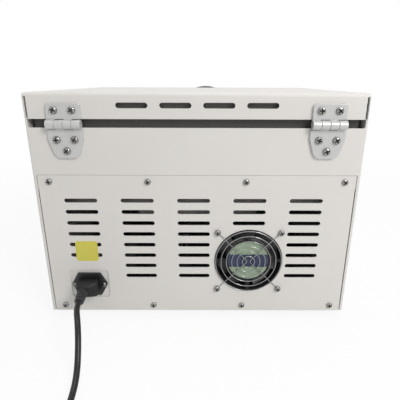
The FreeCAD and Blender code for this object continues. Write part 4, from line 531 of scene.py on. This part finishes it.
@dataclass(frozen=True)
class RoundedPart:
    """A node's solid with its edges rounded as folding, moulding or casting leaves them.

    Holes can be closed where the screws of another node cover them.
    """

    node: str
    body: str
    finish: Finish
    slot: str
    edge_mm: float
    segments: int = 2
    covered_by: str = ""

    def build(self, frame: dict) -> None:
        """Make the rounded copy and let it stand for its node.

        Args:
            frame: The loaded frame.
        """
        work = mesh_copy(frame["nodes"][self.node])
        if self.covered_by:
            close_holes(work, frame["nodes"][self.covered_by])
        merge_flat(work)
        soften(work)
        piece = to_object(work, f"{self.node}_rounded", self.finish)
        bevel = piece.modifiers.new("edges", "BEVEL")
        bevel.width = self.edge_mm * MM
        bevel.segments = self.segments
        bevel.limit_method = "ANGLE"
        bevel.angle_limit = math.radians(SHARP_DEG)
        bevel.use_clamp_overlap = False
        bevel.loop_slide = False
        bevel.harden_normals = True
        seat(piece, self.body, self.slot, self.node)


ROUNDED_PARTS = (
    RoundedPart("outer_casing", "oven", POWDER_COAT, "casing_paint", 0.4),
    RoundedPart("rear_panel", "oven", POWDER_COAT, "casing_paint", 0.3),
    RoundedPart("front_panel", "oven", POWDER_COAT, "casing_paint", 0.3),
    RoundedPart("lid_shell", "lid", POWDER_COAT, "casing_paint", 0.4),
    RoundedPart("inlet_plate", "oven", POWDER_COAT, "casing_paint", 0.3),
    RoundedPart("base_tray", "oven", GALVANISED, "tray_steel", 0.3),
    RoundedPart("power_inlet", "oven", INLET_NYLON, "inlet_plastic", 0.6, 3),
    RoundedPart("fan_frame", "oven", FAN_PLASTIC, "fan_plastic", 0.5),
    RoundedPart("hinge_body_leaves", "oven", HINGE_LACQUER, "hinge_alloy", 0.5, 3, "hinge_body_screws"),
    RoundedPart("hinge_lid_leaves", "lid", HINGE_LACQUER, "hinge_alloy", 0.5, 3, "hinge_lid_screws"),
    RoundedPart("lid_handle", "lid", HANDLE_ABS, "handle_plastic", 0.8, 3),
    RoundedPart("rubber_feet", "oven", RUBBER, "foot_rubber", 1.0, 3),
    RoundedPart("power_switch_housing", "oven", INLET_NYLON, "switch_plastic", 0.5, 3),
    RoundedPart("power_rocker", "rocker", INLET_NYLON, "switch_plastic", 0.8, 3),
    RoundedPart("key_up", "key_up_body", KEY_GREY, "key_grey", 0.8, 3),
    RoundedPart("key_down", "key_down_body", KEY_GREY, "key_grey", 0.8, 3),
    RoundedPart("key_start", "key_start_body", KEY_GREEN, "key_green", 0.8, 3),
    RoundedPart("key_stop", "key_stop_body", KEY_RED, "key_red", 0.8, 3),
    RoundedPart("display_lens", "oven", ACRYLIC, "display_glass", 0.3),
    RoundedPart("wall_plug", "oven", CONNECTOR_PVC, "connector_plastic", 2.2, 4),
    RoundedPart("cord_ties", "oven", PHENOLIC, "tie_plastic", 0.3),
)

# Nodes that are shown as they are
CARRIED_NODES = {
    "fan_motor": STATOR_IRON, "inlet_pins": BRASS, "wall_plug_pins": BRASS,
    "heating_chamber": CHAMBER_STEEL, "rack_ledges": CHAMBER_STEEL, "chamber_rails": GALVANISED,
    "chamber_insulation": MINERAL_WOOL, "insulation_jacket": ALUMINISED, "board_rack": CHROME_WIRE,
    "lower_heater_tubes": QUARTZ, "lower_tube_holders": HOLDER_STEEL, "thermocouple_probe": HOLDER_STEEL,
    "control_board": SOLDER_MASK, "relay_heat_sink": EXTRUSION, "solid_state_relays": PHENOLIC,
    "power_supply": GALVANISED, "terminal_block": PHENOLIC, "display_module": PHENOLIC,
    "key_board": SOLDER_MASK, "lid_liner": CHAMBER_STEEL, "lid_insulation": MINERAL_WOOL,
    "lid_gasket": SILICONE, "upper_heater_tubes": QUARTZ, "upper_tube_holders": HOLDER_STEEL,
    "hinge_pins": HINGE_LACQUER, "foot_screws": NICKEL, "handle_screws": NICKEL,
}


def dress_carried_nodes(frame: dict) -> None:
    """Give the carried nodes their finishes.

    Args:
        frame: The loaded frame.
    """
    for name, finish in CARRIED_NODES.items():
        for slot in frame["nodes"][name].material_slots:
            slot.material = finish.material()
        LOG.info("%s is dressed in %s", name, finish.name)


# Screws

@dataclass(frozen=True)
class ScrewSet:
    """Cross-recess pan-head screws in the places of a node's solids.

    The heads face the rear where the heading is 1, and the front where it is -1. The crown is the head's
    outline in shares of its radius and its height, and the cross is cut where it is above its top share.
    """

    node: str
    body: str
    heading: int
    first_turn_deg: float
    turn_step_deg: float = 37.0
    crown: tuple[tuple[float, float], ...] = (
        (0.0, 1.0), (0.35, 0.985), (0.62, 0.92), (0.82, 0.78), (0.94, 0.58), (1.0, 0.3), (1.0, 0.0))
    stem_share: float = 0.5
    recess_arm: float = 0.7
    recess_half_width: float = 0.17
    recess_depth: float = 0.75
    recess_taper: float = 0.8
    top_share: float = 0.5
    steps: int = 28
    smooth_deg: float = 40.0

    def head(self, work: bmesh.types.BMesh, radius: float, rise: float, length: float) -> None:
        """Turn one screw round Z, its seat at Z = 0, and press the cross into its head.

        Args:
            work: The empty mesh that takes the screw.
            radius: Radius of the head.
            rise: Height of the head.
            length: Length of the stem.
        """
        stem = radius * self.stem_share
        profile = [(radius * reach, rise * height) for reach, height in self.crown]
        profile += [(stem, 0.0), (stem, -length), (0.0, -length)]
        profile_spin(work, profile, self.steps)
        arm, half = radius * self.recess_arm, radius * self.recess_half_width
        for axis in (Vector((1, 0, 0)), Vector((0, 1, 0))):
            for offset in (-arm, -half, half, arm):
                top = self._top(work, rise)
                edges = {edge for face in top for edge in face.edges}
                points = {point for face in top for point in face.verts}
                bmesh.ops.bisect_plane(work, geom=[*top, *edges, *points], plane_co=axis * offset,
                                       plane_no=axis, dist=SAME_POINT)
        cross = [face for face in self._top(work, rise) if self._in_cross(face, arm, half)]
        pressed = bmesh.ops.extrude_face_region(work, geom=cross)["geom"]
        bmesh.ops.delete(work, geom=cross, context="FACES")
        floor = [item for item in pressed if isinstance(item, bmesh.types.BMVert)]
        for point in floor:
            point.co.z = rise * (1 - self.recess_depth)
        bmesh.ops.scale(work, verts=floor, vec=(self.recess_taper, self.recess_taper, 1.0))
        # The cross's faces take the second finish, the painted shade of the recess
        for face in {face for point in floor for face in point.link_faces}:
            face.material_index = 1

    def _top(self, work: bmesh.types.BMesh, rise: float) -> list[bmesh.types.BMFace]:
        """List the faces of the head's upper part."""
        return [face for face in work.faces if face.calc_center_median().z > rise * self.top_share]

    @staticmethod
    def _in_cross(face: bmesh.types.BMFace, arm: float, half: float) -> bool:
        """Say whether a face lies in a cross with arms of that length and half width."""
        near, far = sorted(abs(place) for place in face.calc_center_median().xy)
        return near < half and far < arm

    def build(self, frame: dict) -> None:
        """Set a screw at each solid of the node, each turned to its own angle.

        Args:
            frame: The loaded frame.
        """
        source = mesh_copy(frame["nodes"][self.node])
        whole = bmesh.new()
        for count, points in enumerate(islands(source)):
            low, high = extent(points)
            radius = (high.x - low.x) / 2
            rim = [point.co.y for point in points if abs(point.co.x - high.x) < SAME_POINT]
            seat_y = min(rim, key=lambda y: y * self.heading)
            tip_y, tail_y = (high.y, low.y) if self.heading > 0 else (low.y, high.y)
            screw = bmesh.new()
            self.head(screw, radius, abs(tip_y - seat_y), abs(tail_y - seat_y))
            spot = Vector(((low.x + high.x) / 2, seat_y, (low.z + high.z) / 2))
            turn = Matrix.Rotation(math.radians(self.first_turn_deg + self.turn_step_deg * count), 4, "Z")
            bmesh.ops.transform(screw, matrix=facing(spot, self.heading) @ turn, verts=screw.verts)
            mesh = bpy.data.meshes.new("screw")
            screw.to_mesh(mesh)
            screw.free()
            whole.from_mesh(mesh)
            bpy.data.meshes.remove(mesh)
        source.free()
        soften(whole, self.smooth_deg)
        # The second finish is the painted shade of the crosses
        piece = to_object(whole, f"{self.node}_recessed", NICKEL, PAINTED_SHADE_RECESS)
        seat(piece, self.body, "screw_steel", self.node)


SCREW_SETS = (
    ScrewSet("rear_panel_screws", "oven", 1, 20.0),
    ScrewSet("fan_screws", "oven", 1, 65.0),
    ScrewSet("inlet_screws", "oven", 1, 10.0),
    ScrewSet("hinge_body_screws", "oven", 1, 35.0),
    ScrewSet("hinge_lid_screws", "lid", 1, 50.0),
    ScrewSet("front_panel_screws", "oven", -1, 5.0),
)


# Fan rotor, guard and labels

@dataclass(frozen=True)
class FanRotor:
    """Moulded rotor: a cup hub on its shaft, with broad blades that leave little open between them.

    The hub, the shaft and the blades' tips are given by their radii.
    """

    blades: int = 7
    hub_mm: float = 29.0
    wall_mm: float = 2.5
    shaft_mm: float = 2.5
    tip_mm: float = 42.2
    sweep_deg: float = 49.0
    blade_start_mm: float = 3.6
    blade_sheet_mm: float = 1.6
    blade_steps: int = 8
    hub_steps: int = 56

    def blade(self, work: bmesh.types.BMesh, turn: float, end: float) -> None:
        """Add one blade as a ramp round the hub.

        Args:
            work: The mesh that takes the blade.
            turn: The angle of its near edge.
            end: The depth of its far edge.
        """
        start = self.blade_start_mm * MM
        rows = []
        for k in range(self.blade_steps + 1):
            share = k / self.blade_steps
            angle = turn + math.radians(self.sweep_deg) * share
            level = -start - (end - start) * share
            rows.append([work.verts.new((reach * MM * math.cos(angle), reach * MM * math.sin(angle), level))
                         for reach in (self.hub_mm - self.wall_mm / 2, self.tip_mm)])
        ramp = [work.faces.new((*near, *reversed(far))) for near, far in zip(rows, rows[1:])]
        bmesh.ops.solidify(work, geom=ramp, thickness=self.blade_sheet_mm * MM)

    def build(self) -> None:
        """Turn the hub and set its blades round it."""
        low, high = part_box("fan_impeller")
        depth, wall = high.y - low.y, self.wall_mm * MM
        hub, shaft, cup_floor = self.hub_mm * MM, self.shaft_mm * MM, wall - depth
        work = bmesh.new()
        profile_spin(work, [(0.0, 0.0), (shaft, 0.0), (shaft, cup_floor), (hub - wall, cup_floor),
                            (hub - wall, 0.0), (hub, 0.0), (hub, -depth), (0.0, -depth)], self.hub_steps)
        for k in range(self.blades):
            self.blade(work, 2 * math.pi * k / self.blades, depth - self.blade_sheet_mm * MM)
        bmesh.ops.recalc_face_normals(work, faces=work.faces)
        bmesh.ops.transform(work, matrix=facing(spot_at("fan_guard", high.y)), verts=work.verts)
        soften(work)
        # The rotor's grey finish is painted light over black plastic
        piece = to_object(work, "fan_rotor_moulding", PAINTED_LIGHT_ROTOR)
        seat(piece, "fan_rotor", "fan_plastic", "fan_impeller")


@dataclass(frozen=True)
class FanGuard:
    """Plated wire guard: rings on two bent wires, with an eye round each screw.

    The rings and the eyes are given by their radii.
    """

    rings: int = 6
    first_ring_mm: float = 8.0
    ring_pitch_mm: float = 7.1
    ring_points: int = 12
    wire_mm: float = 1.2
    eye_mm: float = 3.5
    eye_reach: float = 0.7
    eye_points: int = 8
    screw_half_mm: float = 41.25
    corner_mm: float = 1.0
    bend_start: float = 0.85
    section_steps: int = 3
    line_steps: int = 6

    @staticmethod
    def circle(curve: bpy.types.Curve, centre: Vector, radius: float, points: int) -> None:
        """Add a round wire in the plane of the panel.

        Args:
            curve: The curve that takes the wire.
            centre: The wire's centre.
            radius: Radius of the wire's middle line.
            points: Points around.
        """
        spline = curve.splines.new("BEZIER")
        spline.bezier_points.add(points - 1)
        for k, point in enumerate(spline.bezier_points):
            angle = 2 * math.pi * k / points
            point.co = centre + Vector((math.cos(angle), 0.0, math.sin(angle))) * radius
            point.handle_left_type = point.handle_right_type = "AUTO"
        spline.use_cyclic_u = True

    def chevron(self, curve: bpy.types.Curve, centre: Vector, side: int) -> None:
        """Add a bent wire from one screw eye past the middle to the next.

        Args:
            curve: The curve that takes the wire.
            centre: The guard's centre, at the height of the bent wires.
            side: 1 for the +X side, -1 for the other.
        """
        end = self.screw_half_mm - self.eye_mm * self.eye_reach
        corner = Vector((self.corner_mm * side, 0.0, 0.0))
        tips = [Vector((end * side, 0.0, end * up)) for up in (1, -1)]
        bends = [tip.lerp(corner, self.bend_start) for tip in tips]
        route = [tips[0], bends[0], corner, bends[1], tips[1]]
        smooth_line(curve, [centre + offset * MM for offset in route])

    def build(self) -> None:
        """Bend the guard in front of the fan."""
        radius = self.wire_mm / 2 * MM
        back = spot_at("fan_guard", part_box("fan_guard")[0].y + radius)
        front = back + Vector((0.0, self.wire_mm * MM, 0.0))
        curve = wire_curve("fan_guard_wires", radius, CHROME_WIRE, self.section_steps, self.line_steps)
        for k in range(self.rings):
            self.circle(curve, front, (self.first_ring_mm + self.ring_pitch_mm * k) * MM, self.ring_points)
        half = self.screw_half_mm * MM
        for side in (-1, 1):
            self.chevron(curve, back, side)
            for up in (-1, 1):
                screw = back + Vector((half * side, 0.0, half * up))
                self.circle(curve, screw, self.eye_mm * MM, self.eye_points)
        piece = link_object("fan_guard_wires", curve)
        seat(piece, "oven", "guard_wire", "fan_guard")


@dataclass(frozen=True)
class HubLabel:
    """Plain round film label on the fan's motor plate, with one dark band."""

    diameter_mm: float = 54.0
    band_mm: float = 18.5
    film_mm: float = 0.2
    steps: int = 64

    def build(self) -> None:
        """Cut the label and stick it on the motor plate."""
        half_band = self.band_mm / 2 * MM
        work = bmesh.new()
        bmesh.ops.create_circle(work, cap_ends=True, radius=self.diameter_mm / 2 * MM, segments=self.steps)
        for height in (-half_band, half_band):
            bmesh.ops.bisect_plane(work, geom=work.verts[:] + work.edges[:] + work.faces[:],
                                   plane_co=(0, height, 0), plane_no=(0, 1, 0))
        for face in work.faces:
            face.material_index = int(abs(face.calc_center_median().y) < half_band)
        thicken(work, self.film_mm * MM)
        spot = spot_at("fan_guard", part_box("fan_frame")[1].y)
        bmesh.ops.transform(work, matrix=facing(spot), verts=work.verts)
        piece = to_object(work, "fan_hub_label", LABEL_GREEN, LABEL_NAVY)
        seat(piece, "oven", "fan_plastic")


@dataclass(frozen=True)
class BlankSticker:
    """Plain film sticker on the rear panel, above the power inlet."""

    low_x_mm: float = 131.0
    high_x_mm: float = 160.0
    low_z_mm: float = 88.5
    high_z_mm: float = 117.0
    corner_mm: float = 3.0
    corner_steps: int = 6
    film_mm: float = 0.25

    def build(self) -> None:
        """Cut the sticker with round corners and stick it on the panel."""
        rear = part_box("rear_panel")[1].y
        size = Vector((self.high_x_mm - self.low_x_mm, self.film_mm, self.high_z_mm - self.low_z_mm)) * MM
        middle = Vector(((self.low_x_mm + self.high_x_mm) / 2 * MM, rear + size.y / 2,
                         (self.low_z_mm + self.high_z_mm) / 2 * MM))
        work = bmesh.new()
        bmesh.ops.create_cube(work, size=1.0, matrix=Matrix.LocRotScale(middle, None, size))
        corners = [edge for edge in work.edges
                   if abs(edge.verts[0].co.y - edge.verts[1].co.y) > size.y / 2]
        bmesh.ops.bevel(work, geom=corners, offset=self.corner_mm * MM, affect="EDGES",
                        segments=self.corner_steps, profile=0.5, material=-1)
        soften(work)
        piece = to_object(work, "blank_sticker", LABEL_YELLOW)
        seat(piece, "oven", "casing_paint")


# Marks on the keys

@dataclass(frozen=True)
class KeyMark:
    """A plain printed shape on a key's face."""

    node: str
    body: str
    sides: int
    slot: str
    turn_deg: float = 0.0
    radius_mm: float = 2.6
    print_mm: float = 0.12

    def build(self) -> None:
        """Print the mark on the middle of the face."""
        work = bmesh.new()
        bmesh.ops.create_circle(work, cap_ends=True, radius=self.radius_mm * MM, segments=self.sides)
        thicken(work, self.print_mm * MM)
        spot = spot_at(self.node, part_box(self.node)[0].y)
        turn = Matrix.Rotation(math.radians(self.turn_deg), 4, "Z")
        bmesh.ops.transform(work, matrix=facing(spot, -1) @ turn, verts=work.verts)
        piece = to_object(work, f"{self.node}_mark", KEY_MARK)
        seat(piece, self.body, self.slot)


KEY_MARKS = (
    KeyMark("key_up", "key_up_body", 3, "key_grey"),
    KeyMark("key_down", "key_down_body", 3, "key_grey", 180.0),
    KeyMark("key_start", "key_start_body", 32, "key_green", 0.0, 2.1),
    KeyMark("key_stop", "key_stop_body", 4, "key_red", 45.0),
)


# Connector, strain relief and cord

@dataclass(frozen=True)
class StrainRelief:
    """Tapered, ribbed relief that is moulded on the cord and leans to one side.

    Its root and tip are given by their radii. The rib shares are the places along one rib's pitch where its
    outline bends.
    """

    ribs: int = 5
    rib_shares: tuple[float, ...] = (0.0, 0.06, 0.16, 0.46, 0.56, 0.64)
    length_mm: float = 22.0
    root_mm: float = 6.8
    tip_mm: float = 5.5
    groove_mm: float = 1.6
    edge_mm: float = 0.2
    lean_deg: float = 6.0
    steps: int = 32
    smooth_deg: float = 50.0

    def turn(self) -> Matrix:
        """Give the relief's turn about the upright."""
        return Matrix.Rotation(math.radians(self.lean_deg), 4, "Z")

    def axis(self) -> Vector:
        """Give the way that the relief points."""
        return self.turn().to_3x3() @ Vector((0.0, 1.0, 0.0))

    def start(self) -> Vector:
        """Find the middle of the relief's root, where it meets the connector.

        Returns:
            The middle.
        """
        low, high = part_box("cord_strain_relief")
        across, along = (self.turn().to_3x3() @ Vector((self.root_mm * MM, 0.0, 0.0))).xy
        return Vector((high.x - across, low.y + along, (low.z + high.z) / 2))

    def end(self) -> Vector:
        """Give the middle of the relief's tip, where the cord leaves it."""
        return self.start() + self.axis() * self.length_mm * MM

    def build(self) -> None:
        """Turn the relief round the cord."""
        length = self.length_mm * MM
        pitch = length / self.ribs
        profile = [(0.0, 0.0)]
        for k in range(self.ribs):
            rib = (self.root_mm + (self.tip_mm - self.root_mm) * k / self.ribs) * MM
            groove, shoulder = rib - self.groove_mm * MM, rib - self.edge_mm * MM
            outline = (groove, shoulder, rib, rib, shoulder, groove)
            profile += [(radius, pitch * (k + share)) for radius, share in zip(outline, self.rib_shares)]
        profile += [(profile[-1][0], length), (0.0, length)]
        work = bmesh.new()
        profile_spin(work, profile, self.steps)
        spot = Matrix.Translation(self.start()) @ self.turn() @ facing(Vector())
        bmesh.ops.transform(work, matrix=spot, verts=work.verts)
        soften(work, self.smooth_deg)
        # The relief's paler PVC is a painted sheen
        piece = to_object(work, "cord_strain_relief_moulding", PAINTED_SHEEN_PVC)
        seat(piece, "oven", "connector_plastic", "cord_strain_relief")


@dataclass(frozen=True)
class CordConnector:
    """Moulded cord connector: nose, grip and a tail that leans and tapers to the strain relief."""

    grip_mm: tuple[float, float, float] = (27.0, 13.0, 21.0)
    tail_mm: tuple[float, float, float] = (14.0, 7.0, 13.8)
    nose_inset_mm: float = 2.4
    edge_mm: float = 2.2
    edge_steps: int = 4

    def build(self, relief: StrainRelief) -> None:
        """Draw out the connector from its grip.

        Args:
            relief: The strain relief that its tail meets.
        """
        low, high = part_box("mains_connector")
        grip_x, grip_z = low.x + self.grip_mm[0] / 2 * MM, (low.z + high.z) / 2
        tail_end = relief.start()
        tail_start = tail_end.y - self.tail_mm[1] * MM
        grip_start = tail_start - self.grip_mm[1] * MM
        work = bmesh.new()
        centre = Vector((grip_x, (grip_start + tail_start) / 2, grip_z))
        bmesh.ops.create_cube(work, size=1.0,
                              matrix=Matrix.LocRotScale(centre, None, Vector(self.grip_mm) * MM))
        rear = max(work.faces, key=lambda face: face.calc_center_median().y)
        front = min(work.faces, key=lambda face: face.calc_center_median().y)
        taper = (self.tail_mm[0] / self.grip_mm[0], 1.0, self.tail_mm[2] / self.grip_mm[2])
        tail = self._draw_out(work, rear, taper, tail_end)
        bmesh.ops.rotate(work, cent=tail_end, matrix=relief.turn().to_3x3(), verts=tail.verts)
        bmesh.ops.inset_region(work, faces=[front], thickness=self.nose_inset_mm * MM)
        self._draw_out(work, front, (1.0, 1.0, 1.0), Vector((grip_x, low.y, grip_z)))
        bmesh.ops.bevel(work, geom=work.edges[:], offset=self.edge_mm * MM, affect="EDGES",
                        segments=self.edge_steps, profile=0.5, material=-1)
        soften(work)
        piece = to_object(work, "mains_connector_moulding", CONNECTOR_PVC)
        seat(piece, "oven", "connector_plastic", "mains_connector")

    @staticmethod
    def _draw_out(work: bmesh.types.BMesh, face: bmesh.types.BMFace, taper: tuple[float, float, float],
                  end: Vector) -> bmesh.types.BMFace:
        """Draw a face out to a place, and shrink it there.

        Args:
            work: The mesh.
            face: The face to draw out.
            taper: How much of its size along each axis is kept.
            end: Where the face's middle ends.

        Returns:
            The face at the end.
        """
        made = bmesh.ops.extrude_discrete_faces(work, faces=[face])["faces"][0]
        middle = made.calc_center_median()
        bmesh.ops.scale(work, verts=made.verts, vec=taper, space=Matrix.Translation(-middle))
        bmesh.ops.translate(work, verts=made.verts, vec=end - middle)
        return made


@dataclass(frozen=True)
class MainsCord:
    """The cord on one smooth line: out of the relief, down to the floor and round its tied coil.

    The coil winds in on its lower layer, climbs where the spiral turns back and winds out on the upper one.
    """

    diameter_mm: float = 7.0
    length_mm: float = 1726.0
    first_run_mm: float = 8.5
    route_mm: tuple[tuple[float, float, float], ...] = (
        (-2.2, 61.8, 53.0), (-6.1, 72.0, 50.4), (-9.4, 81.5, 45.0), (-11.8, 90.2, 37.0), (-13.5, 98.6, 27.4),
        (-15.2, 108.8, 17.0), (-17.0, 122.5, 8.6), (-18.5, 141.0, 4.8), (-19.4, 164.0, 3.9))
    coil_centre_mm: tuple[float, float] = (31.0, 224.0)
    coil_inner_mm: float = 28.0
    turn_step_mm: float = 7.6
    layer_turns: int = 3
    climb_turns: float = 0.5
    low_mm: float = 5.1
    approach_mm: float = 26.0
    lead_mm: float = 42.0
    points_a_turn: int = 16
    section_steps: int = 5
    line_steps: int = 4

    def coil_point(self, turn: float, spread: float = 1.0) -> Vector:
        """Give a point of the coil's middle line, counted in turns from its start.

        Args:
            turn: Turns from the start.
            spread: How much further out the point lies, which a control point needs.

        Returns:
            The point in millimetres from the inlet's foot on the rear plane.
        """
        climbed = min(max((turn - self.layer_turns) / self.climb_turns + 0.5, 0.0), 1.0)
        outer = self.coil_inner_mm + self.turn_step_mm * self.layer_turns
        radius = (outer - self.turn_step_mm * min(turn, 2 * self.layer_turns - turn)) * spread
        angle = math.pi - 2 * math.pi * turn
        lift = self.turn_step_mm * climbed * climbed * (3 - 2 * climbed)
        return Vector((self.coil_centre_mm[0] + radius * math.cos(angle),
                       self.coil_centre_mm[1] + radius * math.sin(angle), self.low_mm + lift))

    def route(self, start: Vector, heading: Vector) -> list[Vector]:
        """List the cord's control points, in millimetres from the inlet's foot on the rear plane.

        Args:
            start: Where the cord leaves the relief.
            heading: The way that it leaves.

        Returns:
            The points from the relief to the plug.
        """
        turns = 2 * self.layer_turns
        spread = 1 / math.cos(math.pi / self.points_a_turn)
        first, last = self.coil_point(0), self.coil_point(turns)
        points = [start, start + heading * self.first_run_mm]
        points += [Vector(spot) for spot in self.route_mm]
        points += [first - Vector((0.0, back, 0.0)) for back in (self.approach_mm, self.diameter_mm)]
        points += [self.coil_point((k + 0.5) / self.points_a_turn, spread)
                   for k in range(turns * self.points_a_turn)]
        points += [last + Vector((0.0, ahead, 0.0)) for ahead in (self.diameter_mm, self.lead_mm)]
        return points

    def build(self, frame: dict, relief: StrainRelief) -> None:
        """Lay the cord along its route.

        Args:
            frame: The loaded frame, which is not used.
            relief: The strain relief that it leaves.
        """
        foot = spot_at("power_inlet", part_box("rear_panel")[1].y)
        foot.z = 0.0
        exit_point = relief.end()
        curve = wire_curve("mains_cord_lead", self.diameter_mm / 2 * MM, CORD_PVC, self.section_steps,
                           self.line_steps)
        curve.use_fill_caps = True
        smooth_line(curve, [foot + spot * MM for spot in self.route((exit_point - foot) / MM, relief.axis())])
        piece = link_object("mains_cord_lead", curve)
        seat(piece, "oven", "cord_jacket", "mains_cord", "cord_coil")


# Studio

@dataclass(frozen=True)
class Lamp:
    """A soft square lamp, with its places and side in metres and its power in watts."""

    name: str
    spot: tuple[float, float, float]
    target: tuple[float, float, float]
    side: float
    power: float

    def build(self) -> None:
        """Hang the lamp and turn it to its target."""
        light = bpy.data.lights.new(self.name, "AREA")
        light.size = self.side
        light.energy = self.power
        stand = link_object(self.name, light)
        stand.location = self.spot
        stand.rotation_euler = (Vector(self.target) - Vector(self.spot)).to_track_quat("-Z", "Y").to_euler()


LAMPS = (
    Lamp("key_lamp", (-1.0, 1.4, 1.3), (0.0, 0.1, 0.15), 0.7, 21.0),
    Lamp("overhead_lamp", (0.0, -0.2, 2.3), (0.0, 0.0, 0.3), 1.6, 18.0),
)


@dataclass(frozen=True)
class Studio:
    """Pale floor, soft lamps and the camera behind the oven.

    The camera's angles are in radians, and the floor's sizes in metres.
    """

    camera_x_mm: float = -10.06
    camera_back_mm: float = 429.4
    camera_z_mm: float = 316.2
    pitch: float = 0.3194
    yaw: float = 0.002
    roll: float = 0.0031
    focal_px: float = 359.7
    middle_px: float = 205.8
    image_px: float = 400.0
    sensor_mm: float = 36.0
    nearest_mm: float = 10.0
    white: str = "#ffffff"
    world_level: float = 0.4
    floor_paper: str = "#f2f2f1"
    floor_radius: float = 12.0
    floor_steps: int = 96
    floor_glow: float = 0.88
    shadow_reach: tuple[float, float] = (0.4, 1.3)

    def camera(self) -> None:
        """Stand the camera at the photograph's place."""
        lens = bpy.data.cameras.new("rear_camera")
        lens.sensor_width = self.sensor_mm
        lens.lens = self.sensor_mm * self.focal_px / self.image_px
        lens.shift_x = (self.image_px / 2 - self.middle_px) / self.image_px
        lens.clip_start = self.nearest_mm * MM
        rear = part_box("rear_panel")[1].y
        spot = Vector((self.camera_x_mm * MM, rear + self.camera_back_mm * MM, self.camera_z_mm * MM))
        aim = Matrix.Rotation(math.pi - self.yaw, 4, "Z") @ Matrix.Rotation(math.pi / 2 - self.pitch, 4, "X")
        stand = link_object("rear_camera", lens)
        stand.matrix_world = Matrix.Translation(spot) @ aim @ Matrix.Rotation(self.roll, 4, "Z")
        bpy.context.scene.camera = stand

    def world(self) -> None:
        """Light the scene from a pale sky that the camera and reflections see as white."""
        world = bpy.data.worlds.new("studio")
        bpy.context.scene.world = world
        tree = empty_tree(world)
        level = add_node(tree, "ShaderNodeMapRange", {},
                         {"Value": self._seen(tree), "To Min": self.world_level})
        sky = add_node(tree, "ShaderNodeBackground", {},
                       {"Color": linear(self.white), "Strength": level.outputs["Result"]})
        add_node(tree, "ShaderNodeOutputWorld", {}, {"Surface": sky.outputs["Background"]})

    @staticmethod
    def _seen(tree: bpy.types.NodeTree) -> bpy.types.NodeSocket:
        """Tell camera, glossy and transmission rays from the rest.

        Args:
            tree: The tree that takes the nodes.

        Returns:
            One for such a ray, zero for any other.
        """
        path = add_node(tree, "ShaderNodeLightPath", {}, {})
        shiny = add_node(tree, "ShaderNodeMath", {"operation": "MAXIMUM"},
                         {0: path.outputs["Is Glossy Ray"], 1: path.outputs["Is Transmission Ray"]})
        seen = add_node(tree, "ShaderNodeMath", {"operation": "MAXIMUM"},
                        {0: path.outputs["Is Camera Ray"], 1: shiny.outputs[0]})
        return seen.outputs[0]

    def floor(self) -> None:
        """Lay a white floor that keeps a soft trace of the oven's shadow and fades to plain white."""
        work = bmesh.new()
        bmesh.ops.create_circle(work, cap_ends=True, radius=self.floor_radius, segments=self.floor_steps)
        made = bpy.data.materials.new("white_sweep")
        tree = empty_tree(made)
        place = add_node(tree, "ShaderNodeTexCoord", {}, {}).outputs["Object"]
        away = add_node(tree, "ShaderNodeVectorMath", {"operation": "LENGTH"}, {0: place})
        fade = add_node(tree, "ShaderNodeMapRange", {},
                        {"Value": away.outputs["Value"], "From Min": self.shadow_reach[0],
                         "From Max": self.shadow_reach[1], "To Min": self.floor_glow})
        share = add_node(tree, "ShaderNodeMath", {"operation": "MULTIPLY"},
                         {0: self._seen(tree), 1: fade.outputs["Result"]})
        paper = add_node(tree, "ShaderNodeBsdfDiffuse", {}, {"Color": linear(self.floor_paper)})
        glow = add_node(tree, "ShaderNodeEmission", {}, {"Color": linear(self.white)})
        mixed = add_node(tree, "ShaderNodeMixShader", {},
                         {0: share.outputs[0], 1: paper.outputs["BSDF"], 2: glow.outputs["Emission"]})
        add_node(tree, "ShaderNodeOutputMaterial", {}, {"Surface": mixed.outputs["Shader"]})
        floor = to_object(work, "floor")
        floor.data.materials.append(made)

    def build(self) -> None:
        """Set up the whole studio."""
        self.camera()
        self.world()
        self.floor()
        for lamp in LAMPS:
            lamp.build()
        bpy.context.scene.view_settings.view_transform = "Standard"


def main() -> None:
    """Build the oven's looks piece by piece."""
    logging.basicConfig(level=logging.INFO, format="%(message)s")
    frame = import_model()
    for part in ROUNDED_PARTS:
        part.build(frame)
    dress_carried_nodes(frame)
    for screws in SCREW_SETS:
        screws.build(frame)
    FanRotor().build()
    FanGuard().build()
    HubLabel().build()
    BlankSticker().build()
    for mark in KEY_MARKS:
        mark.build()
    relief = StrainRelief()
    relief.build()
    CordConnector().build(relief)
    MainsCord().build(frame, relief)
    Studio().build()


if __name__ == "__main__":
    main()
